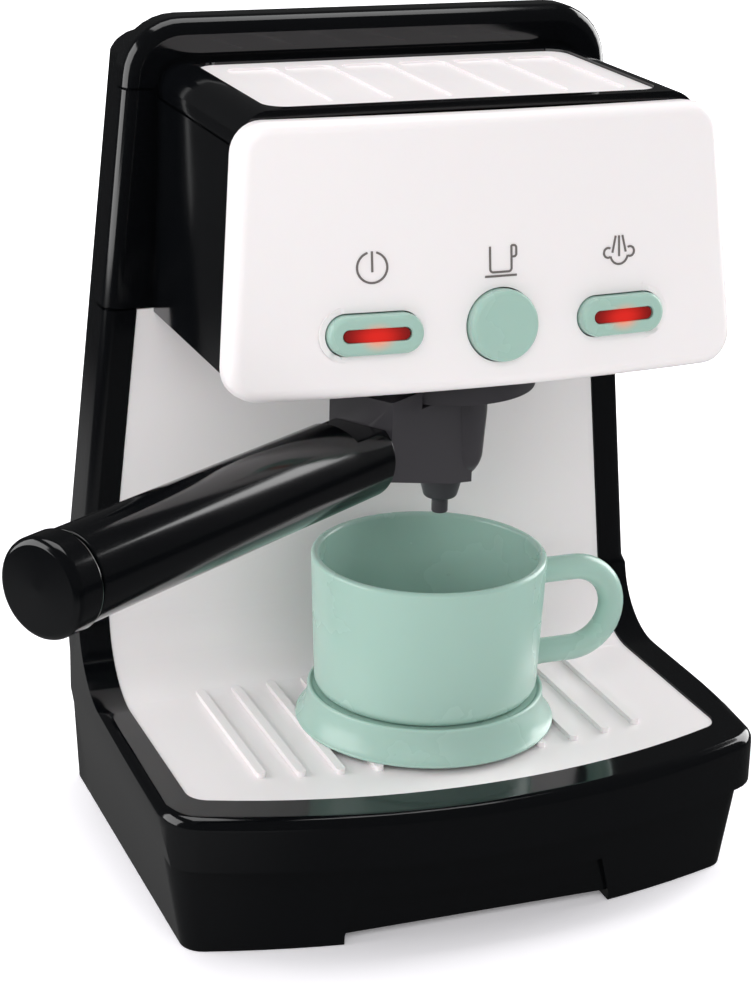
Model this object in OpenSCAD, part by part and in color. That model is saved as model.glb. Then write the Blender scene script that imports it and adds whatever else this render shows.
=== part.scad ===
// Toy espresso coffee maker: a tapered housing with an inset drip tray, a head with three
// push buttons, a swinging filter holder, and a loose cup on its saucer.
// Millimetres. +Z up, front towards -Y, origin on the rest plane under the middle of the base.

/* [Housing] */
// Height of the top hoop above the table
total_h = 280; // [270:1:295]
// Width of the housing at the tray rim
rim_w = 209; // [200:1:220]
// Width of the housing at the very top
top_w = 168.4; // [160:0.1:180]
// Width of the base where it meets the table
foot_w = 194; // [184:1:199]
// Height at which the leaning side wall of the base reaches full width
waist_z = 45; // [40:1:48]
// Height above which the sides start to lean in towards the top
taper_z = 75; // [65:1:85]
// Corner radius of the top hoop
hoop_r = 20; // [14:1:26]
// Distance from the origin forwards to the middle of the tray rim
rim_front = 90; // [84:1:98]
// Plan radius of the bowed tray rim
rim_bow_r = 263; // [230:1:400]
// Distance from the origin forwards to the middle of the base front
foot_front = 78; // [74:1:80]
// Plan radius of the bowed base front
foot_bow_r = 312; // [280:1:450]
// Distance from the origin back to the rear face
rear_y = 75; // [72:1:90]
// Plan radius of the rear corners
rear_r = 4; // [3:0.5:12]
// Step from the side of the hoop in to the side of the rear cover
rear_inset = 3.4; // [2:0.1:3.4]
// Housing wall thickness
wall = 2.4; // [2:0.1:2.8]
// Height of the underside of the tray rim
rim_z = 33; // [31:0.5:36]
// Height of the top of the tray rim
tray_z = 51; // [49:0.5:54]
// Front face of the uprights, measured back from the origin
face_y = 39.2; // [37:0.1:42]
// Seam between the front frame and the rear cover
seam_y = 52; // [50:0.5:55]
// Radius where the uprights run into the tray
fillet_r = 27; // [24:1:30]
// Width of the black band beside the white panel
band_w = 10.8; // [9:0.1:12]
// Width of the black band in front of the white tray
front_band = 14.5; // [12:0.1:17]
// Seam between the lower frame and the head housing
low_seam_z = 185; // [182:0.5:188]
// Rise of the hoop's upper seam above the seam round the head
hoop_seam_rise = 2.8; // [1:0.1:4]
// Width of a seam groove
seam_gap = 0.8; // [0.4:0.1:1.2]

/* [Feet] */
// Width of the raised stretch between the two front feet
notch_w = 94; // [80:1:110]
// Height of the raised stretch
notch_h = 3; // [2:0.1:5]
// How far back the raised stretch runs
notch_depth = 16; // [12:1:20]
// Height of the flat recess above it
recess_h = 16.5; // [13:0.5:20]
// Depth of that recess in the middle of the bowed front
recess_depth = 5.5; // [4:0.1:7]

/* [Tray] */
// Thickness of the white tray and back panel
panel_t = 2.2; // [1.8:0.1:2.6]
// Depth of the panel below the black band
panel_drop = 0.5; // [0.3:0.1:0.8]
// Clearance round the panel
panel_gap = 0.3; // [0.2:0.05:0.5]
// Width of the ledge that carries the panel
ledge_w = 3; // [2.5:0.1:4]
// Width of a tray rib
rib_w = 3; // [2:0.1:4]
// Height of a rib above the tray
rib_h = 1.8; // [1.6:0.1:2.4]
// Distance between ribs
rib_pitch = 12.7; // [11:0.1:12.8]
// Ribs on each side of the middle one
ribs_side = 5; // [4:1:5]
// Rear end of the ribs
rib_back_y = 20; // [16:0.5:20]

/* [Head] */
// Width of the head at its top seam
head_w = 150; // [144:1:152]
// Width of the head at its underside
head_low_w = 154; // [148:1:158]
// Height of the head's underside
head_z = 183.2; // [181:0.1:184]
// Height of the head's top surface
head_top_z = 266.5; // [264:0.1:268]
// Radius of the rolled edge of the top cover
roll_r = 9; // [7:0.5:10]
// Drop from the head's top to the seam round it
head_seam_drop = 11.3; // [10.5:0.1:13]
// Length of the white warming plate, side to side
warmer_w = 129.4; // [118:0.1:130]
// Depth of the white warming plate, front to back
warmer_d = 75; // [66:1:76]
// Rear edge of the warming plate
warmer_back = 33; // [28:0.5:34]
// Corner radius of the warming plate
warmer_r = 7; // [4:0.5:9]
// Number of flutes in the warming plate
flutes = 6; // [4:1:6]
// Distance between flutes
flute_pitch = 19.6; // [18:0.1:20]

/* [Fascia] */
// Lean of the white front, its foot further forward than its top
face_lean = 7.6; // [5:0.1:9]
// Middle of the white front, forwards of the origin
face_front = 69.2; // [67:0.1:72]
// Height of the head's top above the upper edge of the white front
face_drop = 0.35; // [0.2:0.05:0.8]
// Height of the white front's lower edge above the head's underside
face_lift = 0.65; // [0.2:0.05:1.2]
// Width of the white front at its top edge
face_top_w = 156.2; // [154:0.1:158]
// Width of the white front at its lower edge
face_low_w = 170.2; // [164:0.1:172]
// Corner radius of the white front
face_r = 10; // [7:0.5:12]
// Radius of its bow in plan
face_bow_r = 373; // [340:1:480]
// Depth from the middle of the bow back to the rim of the white shell
face_depth = 17; // [16:0.5:19]
// Wall of the white shell
face_wall = 2.4; // [2:0.1:2.8]

/* [Buttons] */
// Sideways place of the two oval buttons
oval_x = 40.5; // [36:0.5:44]
// Width of an oval button
oval_w = 29.2; // [26:0.1:32]
// Height of an oval button
oval_h = 12.2; // [11.5:0.1:16]
// Height of the button row above the lower edge of the white front
button_rise = 19.5; // [17:0.1:21]
// Diameter of the round button
round_d = 22.1; // [20:0.1:25]
// How far the buttons stand out of the white front
button_proud = 4; // [3.4:0.1:5]
// Button travel
travel = 2.5; // [1.5:0.1:2.8]
// Gap round a button
button_gap = 0.4; // [0.3:0.05:0.6]
// Width of a red window
lens_w = 20.4; // [18:0.1:21.5]
// Height of a red window
lens_h = 3.9; // [3.5:0.1:5]

/* [Group] */
// Distance of the group axis forwards of the origin
group_y = 29; // [27:0.5:31]
// Radius of the fixed collar
collar_r = 29.3; // [26:0.1:29.6]
// Height of the collar's lower edge
collar_z = 173.4; // [173:0.1:177]
// Radius of the filter holder's bowl
bowl_r = 14.3; // [13:0.1:15]
// Height of the underside of the bowl
bowl_z = 140; // [138:0.5:142]
// Running gap between bowl and collar
bowl_gap = 0.5; // [0.35:0.05:0.7]
// Radius over the bayonet lugs
lug_r = 18.5; // [18:0.1:19.2]
// Height of the spout's tip
spout_z = 128; // [126:0.5:130]
// Angle by which the handle points forwards of sideways
handle_angle = 33.5; // [20:0.5:40]
// Angle that the handle swings to lock
swing = 55; // [40:1:56]
// Height of the handle's axis
handle_z = 159.6; // [159:0.1:161]
// Handle radius
handle_r = 13.8; // [12:0.1:14.2]
// Distance from the group axis to the near end of the handle
handle_start = 45.5; // [44:0.5:47]
// Distance from the group axis to the far end of the handle
handle_end = 191; // [175:1:200]
// Length of the handle's end cap
cap_l = 12; // [10:0.5:14]
// Radius of the end cap
cap_r = 14.5; // [14.3:0.1:15]

/* [Cup and saucer] */
// Distance of the cup's axis forwards of the origin
cup_y = 21.5; // [21:0.5:23]
// Cup radius at the rim
cup_r = 39.3; // [36:0.1:40]
// Cup radius at the foot
cup_foot_r = 37.6; // [34:0.1:38.5]
// Cup height
cup_h = 48; // [44:0.5:49]
// Cup wall
cup_wall = 2.7; // [1.8:0.1:3]
// Rounding of the cup's lower edge
cup_edge_r = 4; // [3:0.5:5]
// Middle radius of the cup handle's ring
ear_r = 14.9; // [14:0.1:17]
// Radius of the cup handle's bar
ear_bar_r = 4.4; // [3.2:0.1:4.8]
// Distance of the ring's centre from the cup's axis
ear_x = 53.5; // [52:0.5:55]
// Saucer radius
saucer_r = 43.7; // [42.5:0.1:43.8]
// Saucer height to the seat of the cup
saucer_h = 11; // [9:0.5:12]
// Saucer wall
saucer_wall = 1.8; // [1.5:0.1:2.2]

/* [Battery bay] */
// Diameter of a battery cell
cell_d = 14.5; // [13.5:0.1:14.5]
// Length of a battery cell
cell_l = 50.5; // [44:0.1:50.5]
// Height of the bay's floor
bay_z = 37; // [36:0.5:38]

/* [Fasteners] */
// Screw shank radius
screw_r = 1.4; // [1.2:0.1:1.6]
// Screw head radius
screw_head_r = 2.8; // [2.6:0.1:3.2]
// Boss radius
boss_r = 3.8; // [3.4:0.1:4.2]

/* [Hidden] */
$fn = 64;
eps = 0.01;
big = 400;
gap = 0.3;

black = "#141518";
white = "#F1EFEC";
mint = "#A5CFC3";
grey = "#4A484D";
red = "#C02820";
steel = "#B9BCC0";

// --- outlines -------------------------------------------------------------------------
function arc(c, r, a0, a1, n) =
    [for (i = [0:n]) let (a = a0 + (a1 - a0) * i / n) [c[0] + r * cos(a), c[1] + r * sin(a)]];
function flip_x(p) = [for (i = [len(p) - 1:-1:0]) [-p[i][0], p[i][1]]];
function mix(a, b, t) = a + (b - a) * t;

// Seam round the head, and the hoop's seam beside it
head_seam_z = head_top_z - head_seam_drop;
high_seam_z = head_seam_z + hoop_seam_rise;

// Lean of the upper sides, and the half width of the housing at a height
side_lean = atan((rim_w - top_w) / 2 / (total_h - taper_z));
function half_w(z) = mix(rim_w / 2, top_w / 2, (z - taper_z) / (total_h - taper_z));

// Front view outline of the housing, drawn in by t, with corner radius r at a top at height h
function front_pts(t, r, h) =
    let (cx = half_w(h - r) - r / cos(side_lean), cz = h - r,
         right = concat([[foot_w / 2 - t, -eps], [rim_w / 2 - t, waist_z],
                         [rim_w / 2 - t, taper_z]],
                        arc([cx, cz], r - t, side_lean, 90, 8)))
    concat(right, flip_x(right));

// Plan outline with a bowed front; w width, f front, b bow radius, c and d corner radii
function plan_pts(w, f, b, c, back, d, t) =
    let (yc = b - f, x = w / 2 - c, y = yc - sqrt(pow(b - c, 2) - x * x),
         a = atan2(y - yc, x) + 360,
         right = concat(arc([0, yc], b - t, 270, a, 10), arc([x, y], c - t, a, 360, 6),
                        d > t ? arc([w / 2 - d, back - d], d - t, 0, 90, 8)
                              : [[w / 2 - t, back - t], [0, back - t]]))
    concat(right, flip_x(right));

// Side view outline: table, rear, top, upright face, fillet, tray top, drawn in by t
function side_pts(t, h) =
    concat([[-big, -eps], [rear_y - t, -eps]],
           arc([rear_y - hoop_r, h - hoop_r], hoop_r - t, 0, 90, 6),
           [[face_y + t, h - t]],
           arc([face_y - fillet_r, tray_z + fillet_r], fillet_r + t, 0, -90, 16),
           [[-big, tray_z - t]]);

// A cylinder drawn by a plan outline, a front outline and a side outline
module plan_solid(pts, z0, z1) { translate([0, 0, z0]) linear_extrude(z1 - z0) polygon(pts); }
module front_solid(pts, y0, y1) {
    translate([0, y1, 0]) rotate([90, 0, 0]) linear_extrude(y1 - y0) polygon(pts);
}
module side_solid(pts) {
    translate([-big / 2, 0, 0]) rotate([90, 0, 90]) linear_extrude(big) polygon(pts);
}
module slab(x0, x1, y0, y1, z0, z1) {
    translate([x0, y0, z0]) cube([x1 - x0, y1 - y0, z1 - z0]);
}
module pill(l, d, h) {
    for (s = [-1, 1]) translate([s * (l - d) / 2, 0, 0]) cylinder(d = d, h = h);
    translate([-(l - d) / 2, -d / 2, 0]) cube([l - d, d, h]);
}

module scale_x(s) { mirror([s < 0 ? 1 : 0, 0, 0]) children(); }

// --- housing --------------------------------------------------------------------------
rim_corner = 15.5;
tray_corner = 8;
foot_corner = 8;
foot_lean = atan((rim_w - foot_w) / 2 / waist_z);

module body(t, h) {
    intersection() {
        front_solid(front_pts(t, hoop_r, h), -big / 2, big / 2);
        side_solid(side_pts(t, h));
        plan_solid(plan_pts(rim_w, rim_front, rim_bow_r, rim_corner, rear_y, rear_r, t), -1, h + 1);
    }
}

// Opening for the white panel: front view half width follows the taper, plan follows the bow
function opening_pts(t) =
    let (w0 = rim_w / 2 - band_w - t, w1 = half_w(total_h) - band_w - t,
         right = [[w0, tray_z - big / 2], [w0, taper_z], [w1, total_h], [w1, total_h + big / 2]])
    concat(right, flip_x(right));
module opening(t, z1) {
    intersection() {
        front_solid(opening_pts(t), -big / 2, seam_y + eps);
        plan_solid(plan_pts(rim_w - 2 * band_w, rim_front - front_band,
                            rim_bow_r - front_band, tray_corner, big, 0, t), rim_z, z1);
    }
}
// Layer of the body between two depths below its outer face
module layer(t0, t1) { difference() { body(t0, total_h); body(t1, total_h); } }

panel_back = panel_drop + panel_t;
panel_top = low_seam_z - seam_gap;
floor_t = 2.4;

// screw places in the base, and the columns they go up into
base_screw_in = 18.5;
base_screw_front = 44;
base_screw_back = 8;
base_screw_l = 15;
base_screws = [for (y = [base_screw_front - foot_front, seam_y - base_screw_back], s = [-1, 1])
    [s * (foot_w / 2 - base_screw_in), y]];
column_z = rim_z - 8;
column_top = tray_z - panel_back - 4;

module base_tub() {
    color(black) difference() {
        union() {
            difference() {
                base_block(0, 0, rim_z);
                base_block(wall, floor_t, rim_z + 1);
            }
            // raised floor of the front notch, and the wall behind the recess above it
            intersection() {
                foot_block(0, 0, rim_z);
                union() {
                    slab(-notch_w / 2 - wall, notch_w / 2 + wall, -foot_front - 1,
                         notch_depth - foot_front + wall, 0, notch_h + floor_t);
                    slab(-notch_w / 2 - wall, notch_w / 2 + wall, -foot_front - 1,
                         recess_depth - foot_front + wall, 0, recess_h + wall);
                }
            }
            for (p = base_screws) translate([p[0], p[1], 0]) cylinder(r = boss_r, h = column_z);
        }
        // notch between the front feet, and the flat recess with slanting ends above it
        slab(-notch_w / 2, notch_w / 2, -foot_front - 5, notch_depth - foot_front, -1, notch_h);
        front_solid(concat(recess_side, flip_x(recess_side)), -big / 2, recess_depth - foot_front);
        for (p = base_screws) translate([p[0], p[1], -1]) {
            cylinder(r = screw_head_r + 0.4, h = 1 + column_z - screw_seat);
            cylinder(r = screw_r + 0.2, h = rim_z + 1);
        }
    }
}
recess_slant = 3.5;
recess_side = [[notch_w / 2, -1], [notch_w / 2, notch_h], [notch_w / 2 - recess_slant, recess_h]];
// A plan outline of width w at height z, drawn as two halves whose sides and corners lean
module leaning(pts, w, z, lean, z0, z1) {
    for (s = [-1, 1]) scale_x(s) intersection() {
        translate([w / 2, 0, z]) rotate([0, lean, 0]) translate([-w / 2, 0, -z])
            plan_solid(pts, z0 - w / 2, z1 + w / 2);
        slab(0, big, -big, big, z0, z1);
    }
}
module foot_block(t, z0, z1) {
    leaning(plan_pts(foot_w, foot_front, foot_bow_r, foot_corner, rear_y - eps, rear_r, t),
            foot_w, 0, foot_lean, z0, z1);
}
// The base: wide in front of the seam, and flush with the rear cover behind it
module base_block(t, z0, z1) {
    intersection() {
        foot_block(t, z0, z1);
        union() {
            slab(-big, big, -big, seam_y - t, z0, z1);
            rear_foot(t, z0, z1);
        }
    }
}

module lower_frame() {
    color(black) difference() {
        union() {
            difference() {
                intersection() {
                    layer(0, wall);
                    slab(-big, big, -big, seam_y, rim_z, low_seam_z - seam_gap);
                }
                opening(0, low_seam_z + 1);
            }
            // ledge behind the white panel
            difference() {
                intersection() {
                    layer(wall / 2, panel_back + wall);
                    opening(-4, low_seam_z);
                    slab(-big, big, -big, seam_y - wall, rim_z, low_seam_z - seam_gap);
                }
                opening(ledge_w, low_seam_z + 1);
                difference() {
                    opening(0, low_seam_z + 1);
                    body(panel_back, total_h);
                }
            }
            // closing lip under the rim, which sits on the base
            difference() {
                intersection() {
                    plan_solid(plan_pts(rim_w, rim_front, rim_bow_r, rim_corner, rear_y,
                                        rear_r, 0), rim_z, rim_z + wall);
                    front_solid(front_pts(0, hoop_r, total_h), -big / 2, big / 2);
                    slab(-big, big, -big, seam_y, 0, low_seam_z);
                }
                foot_block(wall + 1.6, rim_z - 1, rim_z + wall + 1);
            }
            rear_flange(rim_z, low_seam_z - seam_gap);
            columns();
            // bosses for the lower pair of rear screws
            for (p = rear_screws) if (p[1] < low_seam_z) translate([p[0], seam_y + boss_out, p[1]])
                rotate([90, 0, 0]) cylinder(r = boss_r, h = seam_y + boss_out - face_y - panel_back - wall / 2);
        }
        for (p = base_screws) translate([p[0], p[1], 0])
            cylinder(r = screw_r + 0.05, h = column_top - 1);
        for (p = rear_screws) translate([p[0], seam_y + boss_out + 1, p[1]]) rotate([90, 0, 0])
            cylinder(r = screw_r + 0.05, h = rear_screw_l - screw_seat + 2);
    }
}
// columns that take the base screws, each tied to the side wall by a web
module columns() {
    for (p = base_screws) {
        translate([p[0], p[1], column_z]) cylinder(r = boss_r, h = column_top - column_z);
        intersection() {
            slab(min(p[0], sign(p[0]) * big), max(p[0], sign(p[0]) * big), p[1] - 1.2, p[1] + 1.2,
                 rim_z, column_top);
            body(wall / 2, total_h);
        }
    }
}

module tray_panel() {
    color(white) union() {
        intersection() {
            layer(panel_drop, panel_back);
            opening(panel_gap, panel_top);
            slab(-big, big, -big, seam_y - wall, rim_z, panel_top);
        }
        for (i = [-ribs_side:ribs_side]) tray_rib(i);
    }
}
rib_top = tray_z - panel_drop + rib_h;
rib_middle = 3.4;
rib_inset = 18;
function rib_x(i) = i == 0 ? 0 : sign(i) * (abs(i) * rib_pitch + rib_middle);
function rib_front(i) = front_band + rib_inset - rim_front + pow(rib_x(i), 2) / (2 * rim_bow_r);
module tray_rib(i) {
    x = rib_x(i);
    y0 = rib_front(i);
    translate([x, (y0 + rib_back_y) / 2, tray_z - panel_drop - 0.6]) rotate([0, 0, 90])
        pill(rib_back_y - y0, rib_w, rib_h + 0.6);
}

// top of the rear cover, a little lower than the hoop and rounded on its own
rear_top_drop = 5.2;
rear_top_z = total_h - rear_top_drop;
rear_corner = 12;
rear_half = rim_w / 2 - rear_inset;
rear_foot_lean = atan((rear_half - foot_w / 2) / taper_z);
bay_w = cell_l + 9;
bay_h = 2 * cell_d + 4;
bay_d = cell_d + 2;
inner_y = rear_y - wall;
door_w = bay_w + 4;
door_h = bay_h + 3;
door_t = 2;
door_y = inner_y - gap - door_t;
door_travel = bay_h + 1.5;
rail_w = 2;
rail_y = door_y - gap - 1.5;

// Front view outline that only rounds the top, and plan outline of a right half
function rear_top_pts(t) =
    let (cz = rear_top_z - rear_corner,
         cx = half_w(cz) - rear_inset - rear_corner / cos(side_lean),
         right = concat([[rim_w, -eps]], arc([cx, cz], rear_corner - t, side_lean, 90, 8)))
    concat(right, flip_x(right));
function rear_plan(w, t) =
    concat([[-big, 0], [w / 2 - t, 0]],
           arc([w / 2 - rear_r, rear_y - rear_r], rear_r - t, 0, 90, 6), [[-big, rear_y - t]]);
module rear_foot(t, z0, z1) {
    leaning(rear_plan(foot_w, t), foot_w, 0, rear_foot_lean, z0, z1);
}
module rear_solid(t, y0) {
    intersection() {
        front_solid(rear_top_pts(t), y0, rear_y + 1);
        side_solid(side_pts(t, rear_top_z));
        leaning(rear_plan(2 * rear_half, t), 2 * rear_half, taper_z, -side_lean, 0, total_h);
        rear_foot(t, 0, total_h);
    }
}
// Flange at the seam that the edge of the rear cover seats on
module rear_flange(z0, z1) {
    difference() {
        intersection() {
            body(wall / 2, total_h);
            slab(-big, big, seam_y - wall, seam_y, z0, z1);
        }
        rear_solid(wall, seam_y - 2 * wall);
    }
}
module rear_cover() {
    color(black) difference() {
        union() {
            difference() {
                intersection() {
                    rear_solid(0, seam_y);
                    slab(-big, big, 0, big, rim_z, big);
                }
                rear_solid(wall, seam_y - 1);
            }
            // screw bosses that reach the head housing and the frame
            intersection() {
                rear_solid(wall / 2, seam_y);
                union() for (p = rear_screws) translate([p[0], rear_y, p[1]]) rotate([90, 0, 0])
                    cylinder(r = boss_r, h = rear_y - seam_y - boss_out - boss_gap);
            }
            // rails inside the wall that the battery door slides in, and its stop below
            for (s = [-1, 1]) scale_x(s) {
                slab(door_w / 2 + gap, door_w / 2 + gap + rail_w, rail_y, inner_y + wall / 2,
                     bay_z - 3, bay_z + door_h + door_travel);
                slab(door_w / 2 - 1.2, door_w / 2 + gap + rail_w, rail_y, rail_y + 1.5,
                     bay_z - 3, bay_z + door_h + door_travel);
            }
            slab(-door_w / 2 - 1, door_w / 2 + 1, rail_y, inner_y + wall / 2, bay_z - 3, bay_z - 1.5);
        }
        slab(-bay_w / 2, bay_w / 2, inner_y - 0.05, rear_y + 1, bay_z, bay_z + bay_h);
        // sound holes
        for (i = [-3:3], j = [-2:2])
            translate([i * sound_pitch, rear_y + 1, speaker_z + j * sound_pitch]) rotate([90, 0, 0])
                cylinder(r = sound_r, h = wall + 2, $fn = 24);
        for (p = rear_screws) translate([p[0], rear_y + 1, p[1]]) rotate([90, 0, 0]) {
            cylinder(r = screw_head_r + 0.4, h = 1 + screw_sink);
            cylinder(r = screw_r + 0.2, h = rear_y - seam_y + 1);
        }
    }
}
speaker_drop = 53;
speaker_z = high_seam_z - speaker_drop;
speaker_r = 20;
magnet_r = 11;
speaker_h = 8;
sound_pitch = 6;
sound_r = 1.5;
// screws through the rear cover: a boss stands out behind the seam and meets one of the cover
boss_out = 7.6;
boss_gap = 0.4;
screw_seat = 4.5;
screw_sink = rear_y - seam_y - boss_out - boss_gap - screw_seat;
rear_screw_l = 15;
low_screw_drop = 65;
high_screw_drop = 18;
function rear_screw_x(z) = half_w(z) - band_w + 0.5;
rear_screws = [for (z = [low_seam_z - low_screw_drop, high_seam_z - high_screw_drop], s = [-1, 1])
    [s * rear_screw_x(z), z]];

// --- head -----------------------------------------------------------------------------
// Height of the white front along its slope, and the height of its middle
face_h = (head_top_z - face_drop - head_z - face_lift) / cos(face_lean);
face_z = (head_top_z - face_drop + head_z + face_lift) / 2;
button_u = button_rise - face_h / 2;
// Frame of the leaning front: x across, z up along the slope, -y out of the face
module on_face() { translate([0, -face_front, face_z]) rotate([-face_lean, 0, 0]) children(); }
function face_pts(t) =
    let (h = face_h / 2, r = face_r, lean = atan((face_low_w - face_top_w) / 2 / face_h),
         wt = face_top_w / 2, wb = face_low_w / 2,
         xt = mix(wt, wb, r / face_h) - r / cos(lean), xb = mix(wb, wt, r / face_h) - r / cos(lean),
         right = concat(arc([xb, r - h], r - t, -90, lean, 8), arc([xt, h - r], r - t, lean, 90, 8)))
    concat(right, flip_x(right));
module face_block(t, y0, y1) {
    intersection() {
        front_solid(face_pts(t), y0, y1);
        translate([0, face_bow_r, -face_h]) cylinder(r = face_bow_r - y0, h = 2 * face_h, $fn = 256);
    }
}
// Everything behind the rear plane of the white shell
module behind_face(d) { on_face() slab(-big, big, d, big, -big, big); }

flange_t = 2.4;
head_taper = (head_low_w - head_w) / 2 / (head_seam_z - head_z);
function head_half(z) = head_w / 2 + (head_seam_z - z) * head_taper;
// Front view outline of the head, drawn in by t
function head_pts(t) =
    let (r = roll_r, x = head_half(head_top_z - r) - r,
         right = concat([[head_half(head_z) - t, head_z + t]],
                        arc([x, head_top_z - r], r - t, 0, 90, 8)))
    concat(right, flip_x(right));
module head_block(t, d) {
    intersection() {
        front_solid(head_pts(t), -big / 2, face_y + eps);
        behind_face(d);
    }
}
// Shallow groove in the hoop's face, all round the head
module head_groove() {
    difference() {
        front_solid(head_pts(-groove_w), face_y - 1, face_y + groove_d);
        front_solid(head_pts(0), face_y - 2, face_y + 2);
    }
}
groove_w = 1.4;
groove_d = 1;
module hoop_face_hole(z0, z1, t) {
    front_solid([[-head_half(z0) + t, z0], [head_half(z0) - t, z0],
                 [head_half(z1) - t, z1], [-head_half(z1) + t, z1]], face_y - 1, face_y + wall + 1);
}

module head_housing() {
    color(black) difference() {
        union() {
            // hoop stretch beside and behind the head
            difference() {
                intersection() {
                    layer(0, wall);
                    slab(-big, big, face_y - eps, seam_y, low_seam_z, high_seam_z - seam_gap);
                }
                hoop_face_hole(low_seam_z - 1, high_seam_z + 1, wall);
            }
            rear_flange(low_seam_z, high_seam_z - seam_gap);
            // bottom shelf of the hoop stretch
            intersection() {
                body(0, total_h);
                slab(-big, big, face_y, seam_y, low_seam_z, low_seam_z + wall);
            }
            // box of the head
            difference() {
                intersection() {
                    head_block(0, face_depth);
                    slab(-big, big, -big, big, 0, head_seam_z - seam_gap);
                }
                intersection() {
                    head_block(wall, 0);
                    slab(-big, big, -big, big, 0, head_seam_z + 5);
                }
                slab(-head_half(head_z) + wall, head_half(head_z) - wall, face_y - wall, face_y + 1,
                     head_z + wall, head_seam_z + 1);
            }
            // flange that closes the back of the white shell
            intersection() {
                difference() {
                    on_face() front_solid(face_pts(1.2), face_depth, face_depth + flange_t);
                    head_block(wall, 0);
                }
                slab(-big, big, -big, big, head_z, head_seam_z - seam_gap);
            }
            // tongues that sit in the seams below, above and round the head
            intersection() {
                layer(wall / 2, wall);
                union() {
                    slab(-big, big, face_y, seam_y, low_seam_z - seam_gap, low_seam_z + 1);
                    slab(-big, big, face_y, seam_y, high_seam_z - 2, high_seam_z);
                }
            }
            intersection() {
                difference() {
                    head_block(wall / 2, face_depth);
                    head_block(wall, 0);
                }
                slab(-big, big, -big, big, head_seam_z - 2, head_seam_z);
            }
            // bosses for the white shell's screws and for the rear cover's screws
            for (s = [-1, 1]) face_boss(s * face_screw_x, face_screw_u, face_depth + flange_t + face_screw_out);
            for (p = rear_screws) if (p[1] > low_seam_z)
                translate([p[0], seam_y + boss_out, p[1]]) rotate([90, 0, 0])
                    cylinder(r = boss_r, h = seam_y + boss_out - face_y - wall / 2);
        }
        head_groove();
        translate([0, -group_y, head_z - 1]) cylinder(r = spigot_r + 0.1, h = wall + 2);
        for (p = rear_screws) translate([p[0], seam_y + boss_out + 1, p[1]]) rotate([90, 0, 0])
            cylinder(r = screw_r + 0.05, h = rear_screw_l - screw_seat + 2);
        for (s = [-1, 1]) on_face() translate([s * face_screw_x, face_depth - 8, face_screw_u])
            rotate([-90, 0, 0]) cylinder(r = screw_r + 0.2, h = 30);
    }
}
module face_boss(x, u, y1) {
    on_face() translate([x, y1, u]) rotate([90, 0, 0])
        cylinder(r = boss_r, h = y1 - face_depth - flange_t / 2);
}
spigot_r = lug_r + 2;
face_screw_x = head_w / 2 - 3.5;
face_screw_rise = 11.5;
face_screw_u = face_screw_rise - face_h / 2;
face_screw_l = 16;
face_screw_out = 8;

module top_cover() {
    color(black) difference() {
        union() {
            difference() {
                intersection() {
                    layer(0, wall);
                    slab(-big, big, face_y - eps, seam_y, high_seam_z, big);
                }
                hoop_face_hole(high_seam_z - 5, head_top_z - roll_r / 2, wall);
            }
            difference() {
                intersection() {
                    head_block(0, face_depth);
                    slab(-big, big, -big, big, head_seam_z, big);
                }
                intersection() {
                    head_block(wall, 0);
                    slab(-big, big, -big, big, 0, head_top_z - wall);
                }
            }
            rear_flange(high_seam_z, big);
            // upper stretch of the flange
            intersection() {
                difference() {
                    on_face() front_solid(face_pts(1.2), face_depth, face_depth + flange_t);
                    head_block(wall, 0);
                }
                slab(-big, big, -big, big, head_seam_z, big);
            }
            // floor of the warming plate's pocket
            slab(-warmer_w / 2 - 2, warmer_w / 2 + 2, warmer_back - warmer_d - 2, warmer_back + 2,
                 warmer_z - warmer_t - 2, head_top_z - wall / 2);
        }
        head_groove();
        translate([0, warmer_back - warmer_d / 2, warmer_z - warmer_t])
            rounded_plate(warmer_w + 2 * gap, warmer_d + 2 * gap, warmer_r + gap, 20);
    }
}
warmer_z = head_top_z - 0.8;
warmer_t = 2.6;
module rounded_plate(w, d, r, h) {
    for (x = [-1, 1], y = [-1, 1]) translate([x * (w / 2 - r), y * (d / 2 - r), 0])
        cylinder(r = r, h = h);
    slab(-w / 2 + r, w / 2 - r, -d / 2, d / 2, 0, h);
    slab(-w / 2, w / 2, -d / 2 + r, d / 2 - r, 0, h);
}
module cup_warmer() {
    color(white) difference() {
        translate([0, warmer_back - warmer_d / 2, warmer_z - warmer_t])
            rounded_plate(warmer_w, warmer_d, warmer_r, warmer_t);
        for (i = [0:flutes - 1])
            translate([(i - (flutes - 1) / 2) * flute_pitch, warmer_back - warmer_d / 2, warmer_z - 0.8])
                rounded_plate(flute_pitch - 3, warmer_d - 15, 4, 2);
    }
}

module button_hole(kind, g) {
    if (kind == "round") cylinder(d = round_d + 2 * g, h = 60);
    else pill(oval_w + 2 * g, oval_h + 2 * g, 60);
}
// Places children at a button, with +z pointing out of the white front
module at_button(x) { on_face() translate([x, 0, button_u]) rotate([90, 0, 0]) children(); }
button_x = [-oval_x, 0, oval_x];
button_kind = ["oval", "round", "oval"];
function bow_y(x) = face_bow_r - sqrt(pow(face_bow_r, 2) - x * x);

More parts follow.
